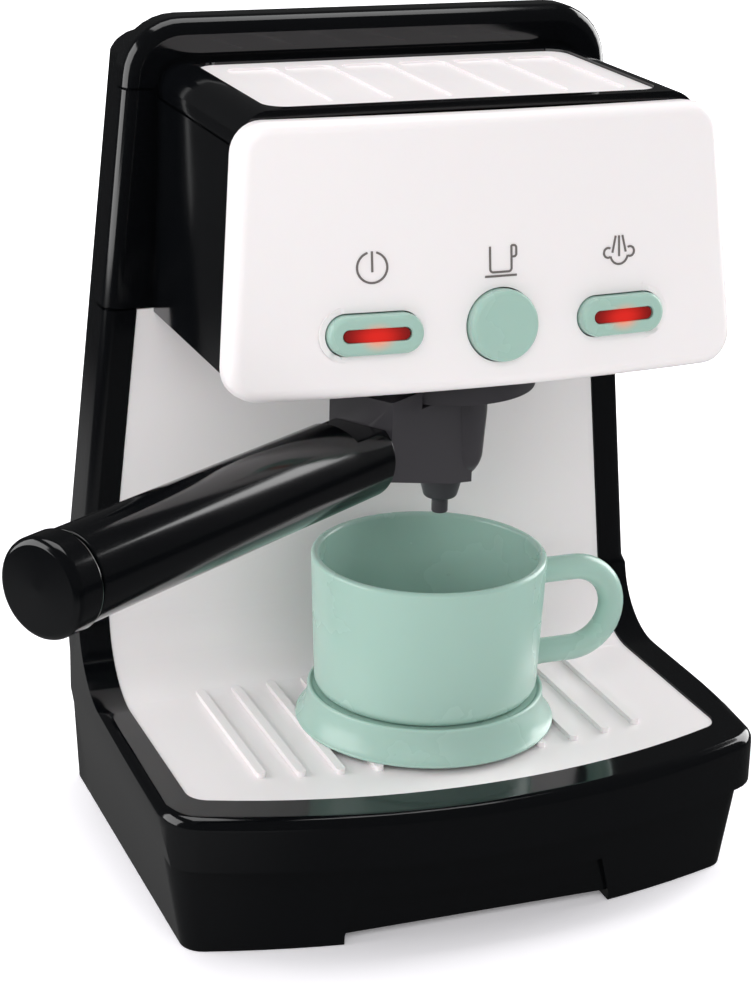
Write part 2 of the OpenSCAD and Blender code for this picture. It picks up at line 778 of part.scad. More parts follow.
module front_fascia() {
    color(white) difference() {
        union() {
            difference() {
                on_face() face_block(0, 0, face_depth);
                on_face() face_block(face_wall, face_wall, face_depth + 1);
            }
            // guide collars behind the button holes
            for (i = [0:2]) at_button(button_x[i]) translate([0, 0, -face_depth + 4])
                intersection() {
                    button_hole(button_kind[i], 2.2);
                    translate([-30, -30, 0]) cube([60, 60, face_depth - 4 - bow_y(button_x[i]) - 1]);
                }
            for (s = [-1, 1]) on_face() {
                translate([s * face_screw_x, face_depth, face_screw_u]) rotate([90, 0, 0])
                    cylinder(r = boss_r, h = face_depth - bow_y(face_screw_x) - 1);
                // stepped posts that the circuit board is staked on
                translate([s * post_x, board_y, button_u]) rotate([90, 0, 0])
                    cylinder(r = 2.6, h = board_y - bow_y(post_x) - 1);
                translate([s * post_x, board_y + board_t + 0.6, button_u]) rotate([90, 0, 0])
                    cylinder(r = 1.4, h = 4);
            }
        }
        for (i = [0:2]) at_button(button_x[i]) translate([0, 0, -30])
            button_hole(button_kind[i], button_gap);
        for (s = [-1, 1]) on_face() translate([s * face_screw_x, face_depth + 1, face_screw_u])
            rotate([90, 0, 0]) cylinder(r = screw_r + 0.05, h = 7);
    }
}

// Plain line signs for power, cup and steam, printed a hair proud of the white front
icon_line = 0.62;
icon_h = 0.25;
icon_up = 19.8;
module icon_ring(r, a0, a1) {
    rotate_extrude(angle = a1 - a0, start = a0) translate([r - icon_line / 2, 0])
        square([icon_line, 60]);
}
module pictograms() {
    color("#77706E") intersection() {
        on_face() difference() {
            face_block(-icon_h, -icon_h, face_depth);
            face_block(0, 0, face_depth + 1);
        }
        union() {
            at_button(-oval_x) translate([0, icon_up, -10]) {
                icon_ring(4.6, 107, 433);
                slab(-icon_line / 2, icon_line / 2, -1.4, 4.8, 0, 60);
            }
            at_button(0) translate([0, icon_up, -10]) {
                // cup with a narrow handle, on a line
                for (s = [-1, 1]) scale_x(s) {
                    slab(3.5 - icon_line / 2, 3.5 + icon_line / 2, -2.8, 4, 0, 60);
                    translate([2.5, -2.8, 0]) icon_ring(1, -90, 0);
                }
                slab(-2.5, 2.5, -3.8 - icon_line / 2, -3.8 + icon_line / 2, 0, 60);
                slab(-5.2, 5.2, -5 - icon_line / 2, -5 + icon_line / 2, 0, 60);
                for (s = [0, 90]) translate([4.3, s == 0 ? 1.4 : 3.2, 0]) icon_ring(0.8, s - 90, s);
                slab(5.1 - icon_line / 2, 5.1 + icon_line / 2, 1.4, 3.2, 0, 60);
                for (z = [0.6, 4]) slab(3.5, 4.3, z - icon_line / 2, z + icon_line / 2, 0, 60);
            }
            at_button(oval_x) translate([0, icon_up, -10]) {
                // three jets that blow down into a cloud
                slab(-icon_line / 2, icon_line / 2, -2, 4.4, 0, 60);
                for (s = [-1, 1]) scale_x(s) {
                    translate([1.2, 4.4, 0]) rotate([0, 0, 13])
                        slab(-icon_line / 2, icon_line / 2, -5.3, 0, 0, 60);
                    translate([3.9, -0.7, 0]) icon_ring(1.5, -120, 120);
                }
                translate([0, -1.3, 0]) icon_ring(3.1, 191, 349);
            }
        }
    }
}

// --- buttons --------------------------------------------------------------------------
skirt_t = 1.4;
board_y = face_depth + 4;
switch_h = 4;
switch_w = 9;
post_x = oval_x + oval_w / 2 + 6.5;
stem_tip = -board_y + switch_h + travel + 0.1;
// Everything behind the bow of the white front moved forwards by p
module within_bow(p) {
    on_face() translate([0, face_bow_r, -face_h])
        cylinder(r = face_bow_r + p, h = 2 * face_h, $fn = 256);
}
module oval_button(x) {
    color(mint) intersection() {
        at_button(x) difference() {
            union() {
                translate([0, 0, -face_depth + 2]) pill(oval_w, oval_h, face_depth + 5);
                // rim inside that keeps the button from falling out
                translate([0, 0, -face_depth + 2]) pill(oval_w + 4, oval_h + 4, 1.7);
            }
            translate([0, 0, -face_depth]) pill(oval_w - 2 * skirt_t, oval_h - 2 * skirt_t,
                face_depth - bow_y(x) + button_proud - 3.6);
            translate([0, 0, -20]) pill(lens_w + 0.2, lens_h + 0.2, 40);
        }
        within_bow(button_proud);
    }
}
module oval_lens(x) {
    z = -bow_y(x) + button_proud - 3.6;
    color(red) intersection() {
        at_button(x) {
            translate([0, 0, z - 0.6]) pill(lens_w, lens_h, 8);
            translate([0, 0, z - 1.2]) pill(lens_w + 3, lens_h + 3, 1.2);
            // light guide that also works the switch
            translate([0, 0, stem_tip]) cylinder(r = 1.7, h = z - stem_tip);
        }
        within_bow(button_proud - 0.5);
    }
}
module power_button() { oval_button(-oval_x); }
module steam_button() { oval_button(oval_x); }
module power_lens() { oval_lens(-oval_x); }
module steam_lens() { oval_lens(oval_x); }
module brew_button() {
    color(mint) at_button(0) {
        difference() {
            union() {
                translate([0, 0, -face_depth + 2])
                    cylinder(d = round_d, h = face_depth - 2 + button_proud - 0.8);
                translate([0, 0, button_proud - 0.8]) cylinder(d1 = round_d, d2 = round_d - 1.6, h = 0.8);
                translate([0, 0, -face_depth + 2]) cylinder(d = round_d + 4, h = 1.7);
            }
            translate([0, 0, -face_depth])
                cylinder(d = round_d - 2 * skirt_t, h = face_depth + button_proud - 2);
        }
        translate([0, 0, stem_tip]) cylinder(r = 1.7, h = button_proud - 1 - stem_tip);
    }
}
// Return spring between a button's crown and the board
spring_wire = 0.35;
spring_r = 3;
module helix(r, wire, turns, h) {
    n = 10 * turns;
    k = 6;
    pts = [for (i = [0:n], j = [0:k - 1])
        let (a = 360 * i / 10, z = wire + (h - 2 * wire) * i / n, q = r + wire * cos(360 * j / k))
        [q * cos(a), q * sin(a), z + wire * sin(360 * j / k)]];
    faces = concat([[for (j = [0:k - 1]) j]],
        [for (i = [0:n - 1], j = [0:k - 1]) [i * k + j, (i + 1) * k + j, (i + 1) * k + (j + 1) % k]],
        [for (i = [0:n - 1], j = [0:k - 1]) [i * k + j, (i + 1) * k + (j + 1) % k, i * k + (j + 1) % k]],
        [[for (j = [k - 1:-1:0]) n * k + j]]);
    polyhedron(points = pts, faces = faces, convexity = 8);
}
module button_spring(x, top) {
    color(steel) at_button(x) translate([0, 0, -board_y + switch_h - 0.6])
        helix(spring_r, spring_wire, 5, board_y - switch_h + 0.6 + top);
}
module power_spring() { button_spring(-oval_x, -bow_y(oval_x) + button_proud - 4.8); }
module steam_spring() { button_spring(oval_x, -bow_y(oval_x) + button_proud - 4.8); }
module brew_spring() { button_spring(0, button_proud - 2); }

// --- electronics ----------------------------------------------------------------------
board_t = 1.6;
module circuit_board() {
    color("#2F6B45") on_face() difference() {
        slab(-post_x - 4, post_x + 4, board_y, board_y + board_t, button_u - 9, button_u + 12);
        for (s = [-1, 1]) translate([s * post_x, board_y - 1, button_u]) rotate([-90, 0, 0])
            cylinder(r = 1.5, h = 4);
    }
}
module button_switches() {
    color("#26262A") for (i = [0:2]) at_button(button_x[i]) translate([0, 0, -board_y]) {
        translate([-switch_w / 2, -switch_w / 2, 0]) cube([switch_w, switch_w, switch_h - 0.6]);
        cylinder(r = 1.6, h = switch_h);
    }
}
module status_lamps() {
    color(red) for (s = [-1, 1]) at_button(s * (oval_x - 9)) translate([0, 0, -board_y]) {
        cylinder(r = 1.5, h = 5);
        translate([0, 0, 5]) sphere(r = 1.5);
    }
}
module speaker() {
    color("#3A3A3C") translate([0, inner_y, speaker_z]) rotate([90, 0, 0]) {
        cylinder(r = speaker_r, h = 2.4);
        cylinder(r = magnet_r, h = speaker_h);
    }
}

// --- batteries ------------------------------------------------------------------------
bay_y1 = rail_y;
module battery_box() {
    color("#202124") difference() {
        slab(-bay_w / 2 - 1.6, bay_w / 2 + 1.6, bay_y1 - bay_d, bay_y1, bay_z - 1.6, bay_z + bay_h + 1.6);
        slab(-bay_w / 2, bay_w / 2, bay_y1 - bay_d + 1.6, bay_y1 + 1, bay_z, bay_z + bay_h);
    }
}
function cell_z(i) = bay_z + 0.8 + cell_d / 2 + i * (cell_d + 2.4);
cell_y = bay_y1 - bay_d + 1.6 + cell_d / 2 + 0.1;
module batteries() {
    color("#8C9096") for (i = [0, 1]) translate([-cell_l / 2, cell_y, cell_z(i)]) rotate([0, 90, 0]) {
        cylinder(d = cell_d, h = cell_l - 1.2);
        cylinder(d = 5, h = cell_l);
    }
}
contact_w = 10;
contact_t = 0.5;
module battery_contacts() {
    color(steel) for (i = [0, 1]) translate([0, cell_y, cell_z(i)]) {
        for (x = [-bay_w / 2, bay_w / 2 - contact_t])
            slab(x, x + contact_t, -contact_w / 2, contact_w / 2, -contact_w / 2, contact_w / 2);
        translate([-bay_w / 2 + contact_t, 0, 0]) rotate([0, 90, 0])
            cylinder(r1 = 4, r2 = 2.4, h = (bay_w - cell_l) / 2 - contact_t);
        translate([cell_l / 2, -2, -2]) cube([(bay_w - cell_l) / 2 - contact_t, 4, 4]);
    }
}
module battery_door() {
    color(black) difference() {
        slab(-door_w / 2, door_w / 2, door_y, door_y + door_t, bay_z - 1.2, bay_z - 1.2 + door_h);
        for (i = [0:3])
            slab(-11, 11, door_y + door_t - 0.7, door_y + door_t + 1, bay_z + 5 + i * 3, bay_z + 6.4 + i * 3);
    }
}

// --- group and filter holder ----------------------------------------------------------
module at_group() { translate([0, -group_y, 0]) children(); }
ledge_z = head_z + 1.6;
bowl_top = head_z + 11;
lug_dir = 270 + handle_angle;
lug_w = 8;
slot_offset = 32;
collar_roof = bowl_top + 1;
module group_collar() {
    color(grey) at_group() difference() {
        union() {
            translate([0, 0, collar_z]) cylinder(r = collar_r, h = head_z - collar_z);
            translate([0, 0, head_z - 1]) cylinder(r = spigot_r, h = collar_roof + 3 - head_z);
        }
        translate([0, 0, collar_z - 1]) cylinder(r = bowl_r + bowl_gap, h = collar_roof - collar_z + 1);
        translate([0, 0, ledge_z]) cylinder(r = lug_r + 0.6, h = collar_roof - ledge_z);
        // entry slots for the lugs, a little past the end of the handle's swing
        for (s = [0, 180]) rotate([0, 0, lug_dir - slot_offset + s])
            translate([0, -lug_w / 2 - 0.5, collar_z - 1]) cube([lug_r + 0.6, lug_w + 1, ledge_z - collar_z + 2]);
    }
}
module at_handle() {
    at_group() rotate([0, 0, 180 + handle_angle]) translate([0, 0, handle_z]) rotate([0, 90, 0])
        children();
}
neck_w = 24;
neck_top = collar_z + 5.1;
bowl_edge_r = 10;
bowl_taper = 0.9;
spout_r = 7.1;
module filter_holder() {
    color(grey) difference() {
        union() {
            at_group() {
                rotate_extrude() polygon(concat([[0, bowl_z]],
                    arc([bowl_r - bowl_taper - bowl_edge_r, bowl_z + bowl_edge_r], bowl_edge_r, -90, 0, 10),
                    [[bowl_r, bowl_z + 23], [bowl_r, bowl_top], [0, bowl_top]]));
                // pad that the spout seats on
                translate([0, 0, bowl_z]) cylinder(r = spout_r, h = 4);
                for (s = [0, 180]) rotate([0, 0, lug_dir + s]) intersection() {
                    translate([0, -lug_w / 2, ledge_z + gap]) cube([lug_r, lug_w, 3]);
                    translate([0, 0, ledge_z]) cylinder(r = lug_r, h = 5);
                }
                // neck out to the handle
                rotate([0, 0, 180 + handle_angle]) front_solid([[0, bowl_z + 1], [12, bowl_z + 3.5],
                    [handle_start, bowl_z + 13], [handle_start, neck_top],
                    [collar_r + gap, neck_top], [collar_r + gap, collar_z - 0.6],
                    [0, collar_z - 0.6]], -neck_w / 2, neck_w / 2);
            }
            // stub that carries the handle
            at_handle() cylinder(r = 6, h = handle_start + 24);
        }
        at_group() translate([0, 0, bowl_z + 12]) cylinder(r = bowl_r - 2.2, h = 60);
        at_handle() translate([0, 0, handle_start + 4]) cylinder(r = screw_r + 0.05, h = 60);
        at_group() translate([0, 0, bowl_z - 1]) cylinder(r = 2.2, h = 14);
    }
}
module filter_basket() {
    color(steel) at_group() difference() {
        union() {
            translate([0, 0, bowl_z + 14]) cylinder(r = bowl_r - 2.8, h = bowl_top - bowl_z - 14);
            translate([0, 0, bowl_top]) cylinder(r = bowl_r - 0.6, h = 0.8);
        }
        translate([0, 0, bowl_z + 14.8]) cylinder(r = bowl_r - 3.6, h = 60);
        for (i = [0:7]) rotate([0, 0, i * 45]) translate([6, 0, bowl_z + 10])
            cylinder(r = 0.7, h = 10, $fn = 24);
    }
}
module spout() {
    color(grey) at_group() difference() {
        union() {
            translate([0, 0, bowl_z - 6.5]) cylinder(r1 = spout_r - 1.5, r2 = spout_r, h = 6.5);
            translate([0, 0, spout_z]) cylinder(r = 2.7, h = bowl_z - 6 - spout_z);
        }
        translate([0, 0, spout_z - 1]) cylinder(r = 1.4, h = bowl_z - spout_z + 2);
    }
}
facet_x = 0.72 * handle_r;
facet_l = 14;
module handle_grip() {
    color(black) at_handle() difference() {
        translate([0, 0, handle_start]) cylinder(r = handle_r, h = handle_end - cap_l - handle_start);
        // flat on top of the near end, with a ramp that runs out into the round
        translate([-handle_r - 1, -20, handle_start - 1])
            cube([handle_r + 1 - facet_x, 40, facet_l + 1.5]);
        translate([-facet_x, -20, handle_start + facet_l]) rotate([0, -64, 0])
            translate([-10, 0, 0]) cube([10, 40, 12]);
        translate([0, 0, handle_start - 1]) cylinder(r = 6.1, h = 26);
        translate([0, 0, handle_start + 28]) cylinder(r = handle_r - 2.6, h = big);
        translate([0, 0, handle_start]) cylinder(r = screw_r + 0.2, h = 60);
    }
}
module handle_cap() {
    color(black) at_handle() difference() {
        union() {
            translate([0, 0, handle_end - cap_l + 0.2]) cylinder(r = handle_r - 0.9, h = 1.2);
            translate([0, 0, handle_end - cap_l + 1.2]) cylinder(r = cap_r, h = cap_l - 3.2);
            translate([0, 0, handle_end - 2]) cylinder(r1 = cap_r, r2 = cap_r - 2, h = 2);
            translate([0, 0, handle_end - cap_l - 8]) cylinder(r = handle_r - 2.7, h = 9);
        }
        translate([0, 0, handle_end - cap_l - 9]) cylinder(r = handle_r - 4.6, h = 16);
    }
}
module handle_screw() {
    color(steel) at_handle() {
        translate([0, 0, handle_start + 8]) cylinder(r = screw_r, h = 20);
        translate([0, 0, handle_start + 28]) cylinder(r = screw_head_r, h = 2);
    }
}

// --- cup and saucer -------------------------------------------------------------------
module at_cup() { translate([0, -cup_y, 0]) children(); }
saucer_z = rib_top;
cup_z = saucer_z + saucer_h;
flare_r = 7.2;
flare_z = 7.5;
module saucer() {
    seat = cup_foot_r + 0.5;
    t = saucer_wall;
    edge = seat + 1.7;
    // a low ring round the cup's foot, then a hollow flare out to a thin rim
    outer = concat([[saucer_r - 0.5, 0], [saucer_r, 0.5], [saucer_r, 1.2]],
                   arc([edge + flare_r, flare_z], flare_r, 180 + asin((flare_z - 1.5) / flare_r), 180, 8),
                   [[edge, saucer_h + 0.2], [edge - 0.5, saucer_h + 0.8], [seat + 0.5, saucer_h + 0.8],
                    [seat, saucer_h + 0.4], [seat - 0.5, saucer_h], [0, saucer_h]]);
    inner = concat([[0, saucer_h - t], [edge - t, saucer_h - t]],
                   arc([edge + flare_r, flare_z], flare_r + t, 180, 180 + asin(flare_z / (flare_r + t)), 8));
    color(mint) at_cup() translate([0, 0, saucer_z]) rotate_extrude($fn = 96)
        polygon(concat(outer, inner));
}
module cup() {
    r0 = cup_foot_r;
    e = cup_edge_r;
    t = cup_wall;
    profile = concat([[0, 0]], arc([r0 - e, e], e, -90, 0, 6),
                     arc([cup_r - t / 2, cup_h - t / 2], t / 2, 0, 180, 6),
                     arc([r0 - e, t + e], e - t / 2, 0, -90, 6), [[0, t + t / 2]]);
    color(mint) at_cup() translate([0, 0, cup_z]) difference() {
        union() {
            rotate_extrude($fn = 96) polygon(profile);
            cup_ear();
        }
        translate([0, 0, t + e + 1]) cylinder(r1 = r0 - t - 0.2, r2 = cup_r - t - 0.2, h = cup_h);
    }
}
ear_z = 21.3;
module cup_ear() {
    translate([ear_x, 0, ear_z]) {
        rotate([90, 0, 0]) rotate_extrude(angle = 180, start = -90) translate([ear_r, 0])
            circle(r = ear_bar_r, $fn = 32);
        for (s = [-1, 1]) translate([cup_foot_r - 1.8 - ear_x, 0, s * ear_r]) rotate([0, 90, 0])
            cylinder(r = ear_bar_r, h = ear_x - cup_foot_r + 1.8, $fn = 32);
    }
}

// --- fasteners ------------------------------------------------------------------------
module pan_screw(l) {
    cylinder(r = screw_r, h = l);
    translate([0, 0, -1.8]) cylinder(r = screw_head_r, h = 1.8);
}
module housing_screws() {
    color(steel) {
        for (p = base_screws) translate([p[0], p[1], column_z - screw_seat]) pan_screw(base_screw_l);
        for (p = rear_screws) translate([p[0], rear_y - screw_sink, p[1]])
            rotate([90, 0, 0]) pan_screw(rear_screw_l);
        for (s = [-1, 1]) on_face()
            translate([s * face_screw_x, face_depth + flange_t + face_screw_out, face_screw_u])
            rotate([90, 0, 0]) pan_screw(face_screw_l);
    }
}

base_tub();
lower_frame();
tray_panel();
rear_cover();
head_housing();
top_cover();
cup_warmer();
front_fascia();
pictograms();
group_collar();
battery_box();
batteries();
battery_contacts();
circuit_board();
button_switches();
status_lamps();
speaker();
housing_screws();
battery_door();
power_button();
power_lens();
steam_button();
steam_lens();
brew_button();
power_spring();
steam_spring();
brew_spring();
filter_holder();
filter_basket();
spout();
handle_grip();
handle_cap();
handle_screw();
saucer();
cup();
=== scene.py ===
"""Toy espresso coffee maker: shells, controls, brew group, cup and saucer, dressed and lit."""
import math

import bpy
from mathutils import Matrix, Vector


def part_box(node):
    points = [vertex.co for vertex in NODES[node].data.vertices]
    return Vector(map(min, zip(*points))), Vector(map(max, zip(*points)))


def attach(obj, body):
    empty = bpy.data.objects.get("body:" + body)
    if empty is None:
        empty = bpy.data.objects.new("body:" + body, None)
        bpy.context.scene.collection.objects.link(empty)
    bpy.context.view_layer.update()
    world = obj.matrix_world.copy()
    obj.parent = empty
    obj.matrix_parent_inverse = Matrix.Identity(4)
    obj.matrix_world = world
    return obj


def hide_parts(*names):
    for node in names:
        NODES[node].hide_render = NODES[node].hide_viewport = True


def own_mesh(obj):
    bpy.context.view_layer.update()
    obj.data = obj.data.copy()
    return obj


bl_info = {
    "name": "Toy Coffee Maker",
    "version": (1, 0, 0),
    "blender": (4, 5, 0),
    "location": "3D View > Sidebar > Toy",
    "description": "Builds the pieces, finishes, lights and camera of a toy coffee maker",
    "category": "Object",
}

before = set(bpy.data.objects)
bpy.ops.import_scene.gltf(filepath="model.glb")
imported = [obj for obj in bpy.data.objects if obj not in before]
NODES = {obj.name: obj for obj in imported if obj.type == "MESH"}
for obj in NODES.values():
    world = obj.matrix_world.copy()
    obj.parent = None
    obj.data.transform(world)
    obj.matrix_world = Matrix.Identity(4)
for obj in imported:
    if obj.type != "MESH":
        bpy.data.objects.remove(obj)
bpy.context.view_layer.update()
MM = 0.001


# ---- colours and shader nodes ---------------------------------------------------------
def linear(hex_colour):
    """sRGB hex to linear RGBA."""
    h = hex_colour.lstrip("#")
    out = []
    for i in (0, 2, 4):
        c = int(h[i:i + 2], 16) / 255
        out.append(c / 12.92 if c <= 0.04045 else ((c + 0.055) / 1.055) ** 2.4)
    return (*out, 1.0)


def add(tree, kind, links=None, **settings):
    """Adds a node, sets its properties or input values, and links its inputs."""
    n = tree.nodes.new(kind)
    for key, value in settings.items():
        if hasattr(n, key):
            setattr(n, key, value)
        else:
            n.inputs[key.replace("_", " ")].default_value = value
    for key, source in (links or {}).items():
        tree.links.new(source, n.inputs[key])
    return n


def blank(name):
    """A new material with an empty node tree and its output."""
    m = bpy.data.materials.new(name)
    m.use_nodes = True
    m.node_tree.nodes.clear()
    return m, m.node_tree, add(m.node_tree, "ShaderNodeOutputMaterial")


def surface_relief(t, wave_mm, wave, grain_mm, grain):
    """Slow sink waves with a fine grain over them, as a moulding takes from its tool."""
    co = add(t, "ShaderNodeTexCoord").outputs["Object"]
    slow = add(t, "ShaderNodeTexNoise", {"Vector": co}, Scale=1 / (wave_mm * MM), Detail=1.5)
    fine = add(t, "ShaderNodeTexNoise", {"Vector": co}, Scale=1 / (grain_mm * MM), Detail=2.0)
    a = add(t, "ShaderNodeBump", {"Height": slow.outputs["Fac"]}, Strength=wave, Distance=0.001)
    return add(t, "ShaderNodeBump", {"Height": fine.outputs["Fac"], "Normal": a.outputs["Normal"]},
               Strength=grain, Distance=0.0001).outputs["Normal"]


def uneven_gloss(t, rough, vary, patch_mm=35):
    """Roughness that drifts a little from patch to patch, as handled plastic has."""
    co = add(t, "ShaderNodeTexCoord").outputs["Object"]
    patch = add(t, "ShaderNodeTexNoise", {"Vector": co}, Scale=1 / (patch_mm * MM), Detail=4.0)
    return add(t, "ShaderNodeMapRange", {"Value": patch.outputs["Fac"]}, **{
        "From_Min": 0.3, "From_Max": 0.7, "To_Min": rough - vary, "To_Max": rough + vary,
    }).outputs["Result"]


def moulded(name, colour, rough, vary=0.02, wave_mm=30, wave=0.02, grain_mm=0.5, grain=0.0,
            ior=1.53, depth=0.0):
    """An injection-moulded plastic; depth lets light in a little under the skin."""
    if name in bpy.data.materials:
        return bpy.data.materials[name]
    m, t, out = blank(name)
    p = add(t, "ShaderNodeBsdfPrincipled",
            {"Normal": surface_relief(t, wave_mm, wave, grain_mm, grain),
             "Roughness": uneven_gloss(t, rough, vary)},
            IOR=ior, Base_Color=colour, Subsurface_Weight=depth, Subsurface_Scale=0.0015)
    t.links.new(p.outputs["BSDF"], out.inputs["Surface"])
    return m


def black_gloss():
    # Polished black ABS: mirror-like, a shade soft, with slow waves where the wall sank.
    s = bpy.context.scene.toy_shells
    return moulded("polished_black_abs", s.black, 0.1, wave_mm=40, wave=0.03)


def black_grip_gloss():
    # Polished black polypropylene grip: as glossy, straighter in its reflections.
    s = bpy.context.scene.toy_shells
    return moulded("polished_black_polypropylene", s.black, 0.12, wave_mm=60, wave=0.015)


def white_gloss():
    # White ABS from a polished tool: soft broad highlights, light sinks in a little.
    s = bpy.context.scene.toy_shells
    return moulded("soft_gloss_white_abs", s.white, 0.3, wave=0.01, depth=0.06)


def mint_gloss():
    # Mint polypropylene tableware: waxy half gloss with light just under the skin.
    s = bpy.context.scene.toy_trim
    return moulded("waxy_mint_polypropylene", s.mint, 0.27, wave=0.02, depth=0.12)


def grey_satin():
    # Grey ABS from a spark-eroded tool: an even satin grain of about 0.4 mm.
    s = bpy.context.scene.toy_trim
    return moulded("spark_grained_grey_abs", s.grey, 0.36, vary=0.03, grain_mm=0.4, grain=0.25)


def dark_nylon():
    # Unpolished black nylon of the inner parts: dull, faintly grainy.
    return moulded("dull_black_nylon", linear("#26262A"), 0.6, vary=0.05, grain_mm=0.5, grain=0.3)


def printed_ink():
    # Pad-printed warm grey ink: thin and nearly matt over the gloss of the white.
    return moulded("pad_printed_grey_ink", linear("#6E6866"), 0.5, grain_mm=0.3, grain=0.1)


def nickel():
    # Nickel-plated steel wire and screws: bright with fine drawing lines of about 0.3 mm.
    name = "nickel_plated_steel"
    if name in bpy.data.materials:
        return bpy.data.materials[name]
    m, t, out = blank(name)
    p = add(t, "ShaderNodeBsdfPrincipled",
            {"Normal": surface_relief(t, 12, 0.02, 0.3, 0.2),
             "Roughness": uneven_gloss(t, 0.26, 0.06, 6)},
            Base_Color=linear("#C4C3BE"), Metallic=1.0)
    t.links.new(p.outputs["BSDF"], out.inputs["Surface"])
    return m


def solder_mask():
    # Glass-fibre board under green solder mask: the weave, 1.2 mm here, shows through faintly.
    name = "green_solder_mask_board"
    if name in bpy.data.materials:
        return bpy.data.materials[name]
    m, t, out = blank(name)
    co = add(t, "ShaderNodeTexCoord").outputs["Object"]
    weave = add(t, "ShaderNodeTexChecker", {"Vector": co}, Scale=1 / (1.2 * MM),
                Color1=linear("#2A6440"), Color2=linear("#2F6B45"))
    p = add(t, "ShaderNodeBsdfPrincipled",
            {"Base Color": weave.outputs["Color"], "Roughness": uneven_gloss(t, 0.35, 0.05)}, IOR=1.5)
    t.links.new(p.outputs["BSDF"], out.inputs["Surface"])
    return m


def cell_sleeve():
    # Shrunk film on a dry cell: dark body with a copper-coloured band at the button end.
    name = "shrink_film_cell_sleeve"
    if name in bpy.data.materials:
        return bpy.data.materials[name]
    m, t, out = blank(name)
    co = add(t, "ShaderNodeTexCoord").outputs["Object"]
    x = add(t, "ShaderNodeSeparateXYZ", {"Vector": co}).outputs["X"]
    lo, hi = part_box("batteries")
    band = add(t, "ShaderNodeMath", {0: x}, operation="GREATER_THAN")
    band.inputs[1].default_value = lo[0] + 0.7 * (hi[0] - lo[0])
    tone = add(t, "ShaderNodeMix", {"Factor": band.outputs[0]}, data_type="RGBA")
    tone.inputs["A"].default_value = linear("#2B2C30")
    tone.inputs["B"].default_value = linear("#B9794E")
    p = add(t, "ShaderNodeBsdfPrincipled",
            {"Base Color": tone.outputs["Result"], "Roughness": uneven_gloss(t, 0.3, 0.05)},
            Metallic=0.6)
    t.links.new(p.outputs["BSDF"], out.inputs["Surface"])
    return m


def lamp_field(t, node, half_x, half_z):
    """1 at the middle of a lit window, falling to 0 at an ellipse round it."""
    centre = [(a + b) / 2 for a, b in zip(*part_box(node))]
    co = add(t, "ShaderNodeTexCoord").outputs["Object"]
    near = add(t, "ShaderNodeMapping", {"Vector": co}, vector_type="TEXTURE",
               Location=tuple(centre), Scale=(half_x, 1.0, half_z))
    flat = add(t, "ShaderNodeVectorMath", {0: near.outputs["Vector"]}, operation="MULTIPLY")
    flat.inputs[1].default_value = (1, 0, 1)
    far = add(t, "ShaderNodeVectorMath", {0: flat.outputs[0]}, operation="LENGTH")
    return add(t, "ShaderNodeMapRange", {"Value": far.outputs["Value"]}, **{
        "interpolation_type": "SMOOTHERSTEP",
        "From_Min": 0.0, "From_Max": 1.0, "To_Min": 1.0, "To_Max": 0.0,
    }).outputs["Result"]


def lit_mint(side):
    # Mint ABS round a lit window, with painted light: near the window the colour turns warm orange and
    # the plastic glows, standing in for the lamp behind shining through the thin crown.
    name = "mint_abs_lamp_bleed_" + side
    m, t, out = blank(name)
    s = bpy.context.scene.toy_trim
    glow = lamp_field(t, side + "_lens", 7.5 * MM, 5.5 * MM)
    # Painted light: the base colour warms towards orange near the window.
    tone = add(t, "ShaderNodeMix", {"Factor": glow}, data_type="RGBA")
    tone.inputs["A"].default_value = s.mint
    tone.inputs["B"].default_value = linear("#E89A7C")
    # Painted glow: the mint emits orange light near the window, though it is no lamp.
    halo = add(t, "ShaderNodeMix", {"Factor": glow}, data_type="RGBA")
    halo.inputs["A"].default_value = (0, 0, 0, 1)
    halo.inputs["B"].default_value = linear("#6E2A1C")
    p = add(t, "ShaderNodeBsdfPrincipled",
            {"Base Color": tone.outputs["Result"], "Emission Color": halo.outputs["Result"],
             "Normal": surface_relief(t, 30, 0.02, 0.5, 0.0), "Roughness": uneven_gloss(t, 0.27, 0.02)},
            IOR=1.53, Emission_Strength=0.8, Subsurface_Weight=0.1, Subsurface_Scale=0.0015)
    t.links.new(p.outputs["BSDF"], out.inputs["Surface"])
    return m


def lit_red(side):
    # Red tinted clear plastic over a lamp: bright along the middle, dark at both ends.
    name = "tinted_red_window_" + side
    m, t, out = blank(name)
    s = bpy.context.scene.toy_trim
    glow = lamp_field(t, side + "_lens", 11.5 * MM, 6 * MM)
    tone = add(t, "ShaderNodeMix", {"Factor": glow}, data_type="RGBA")
    tone.inputs["A"].default_value = linear("#2A0606")
    tone.inputs["B"].default_value = s.red
    p = add(t, "ShaderNodeBsdfPrincipled",
            {"Emission Color": tone.outputs["Result"], "Roughness": uneven_gloss(t, 0.25, 0.03)},
            Base_Color=linear("#7A1210"), IOR=1.49, Emission_Strength=0.8)
    t.links.new(p.outputs["BSDF"], out.inputs["Surface"])
    return m


# ---- meshes ---------------------------------------------------------------------------
def only(ob):
    """Leaves just this object selected and active, out of edit mode."""
    if bpy.context.mode != "OBJECT":
        bpy.ops.object.mode_set(mode="OBJECT")
    bpy.ops.object.select_all(action="DESELECT")
    ob.select_set(True)
    bpy.context.view_layer.objects.active = ob


def edit(ob, mode="VERT"):
    """Opens the object for editing with nothing selected."""
    only(ob)
    bpy.ops.object.mode_set(mode="EDIT")
    bpy.ops.mesh.select_mode(type=mode)
    bpy.ops.mesh.select_all(action="DESELECT")


def close(ob):
    """Leaves edit mode."""
    bpy.ops.object.mode_set(mode="OBJECT")
    return ob


def copy_node(node, name, plain=True):
    """A merged copy of a CAD node's mesh, to be finished by hand."""
    ob = bpy.data.objects.new(name, NODES[node].data.copy())
    bpy.context.scene.collection.objects.link(ob)
    ob.data.materials.clear()
    edit(ob)
    bpy.ops.mesh.select_all(action="SELECT")
    bpy.ops.mesh.remove_doubles(threshold=2e-6)
    close(ob)
    return join_flats(ob) if plain else ob


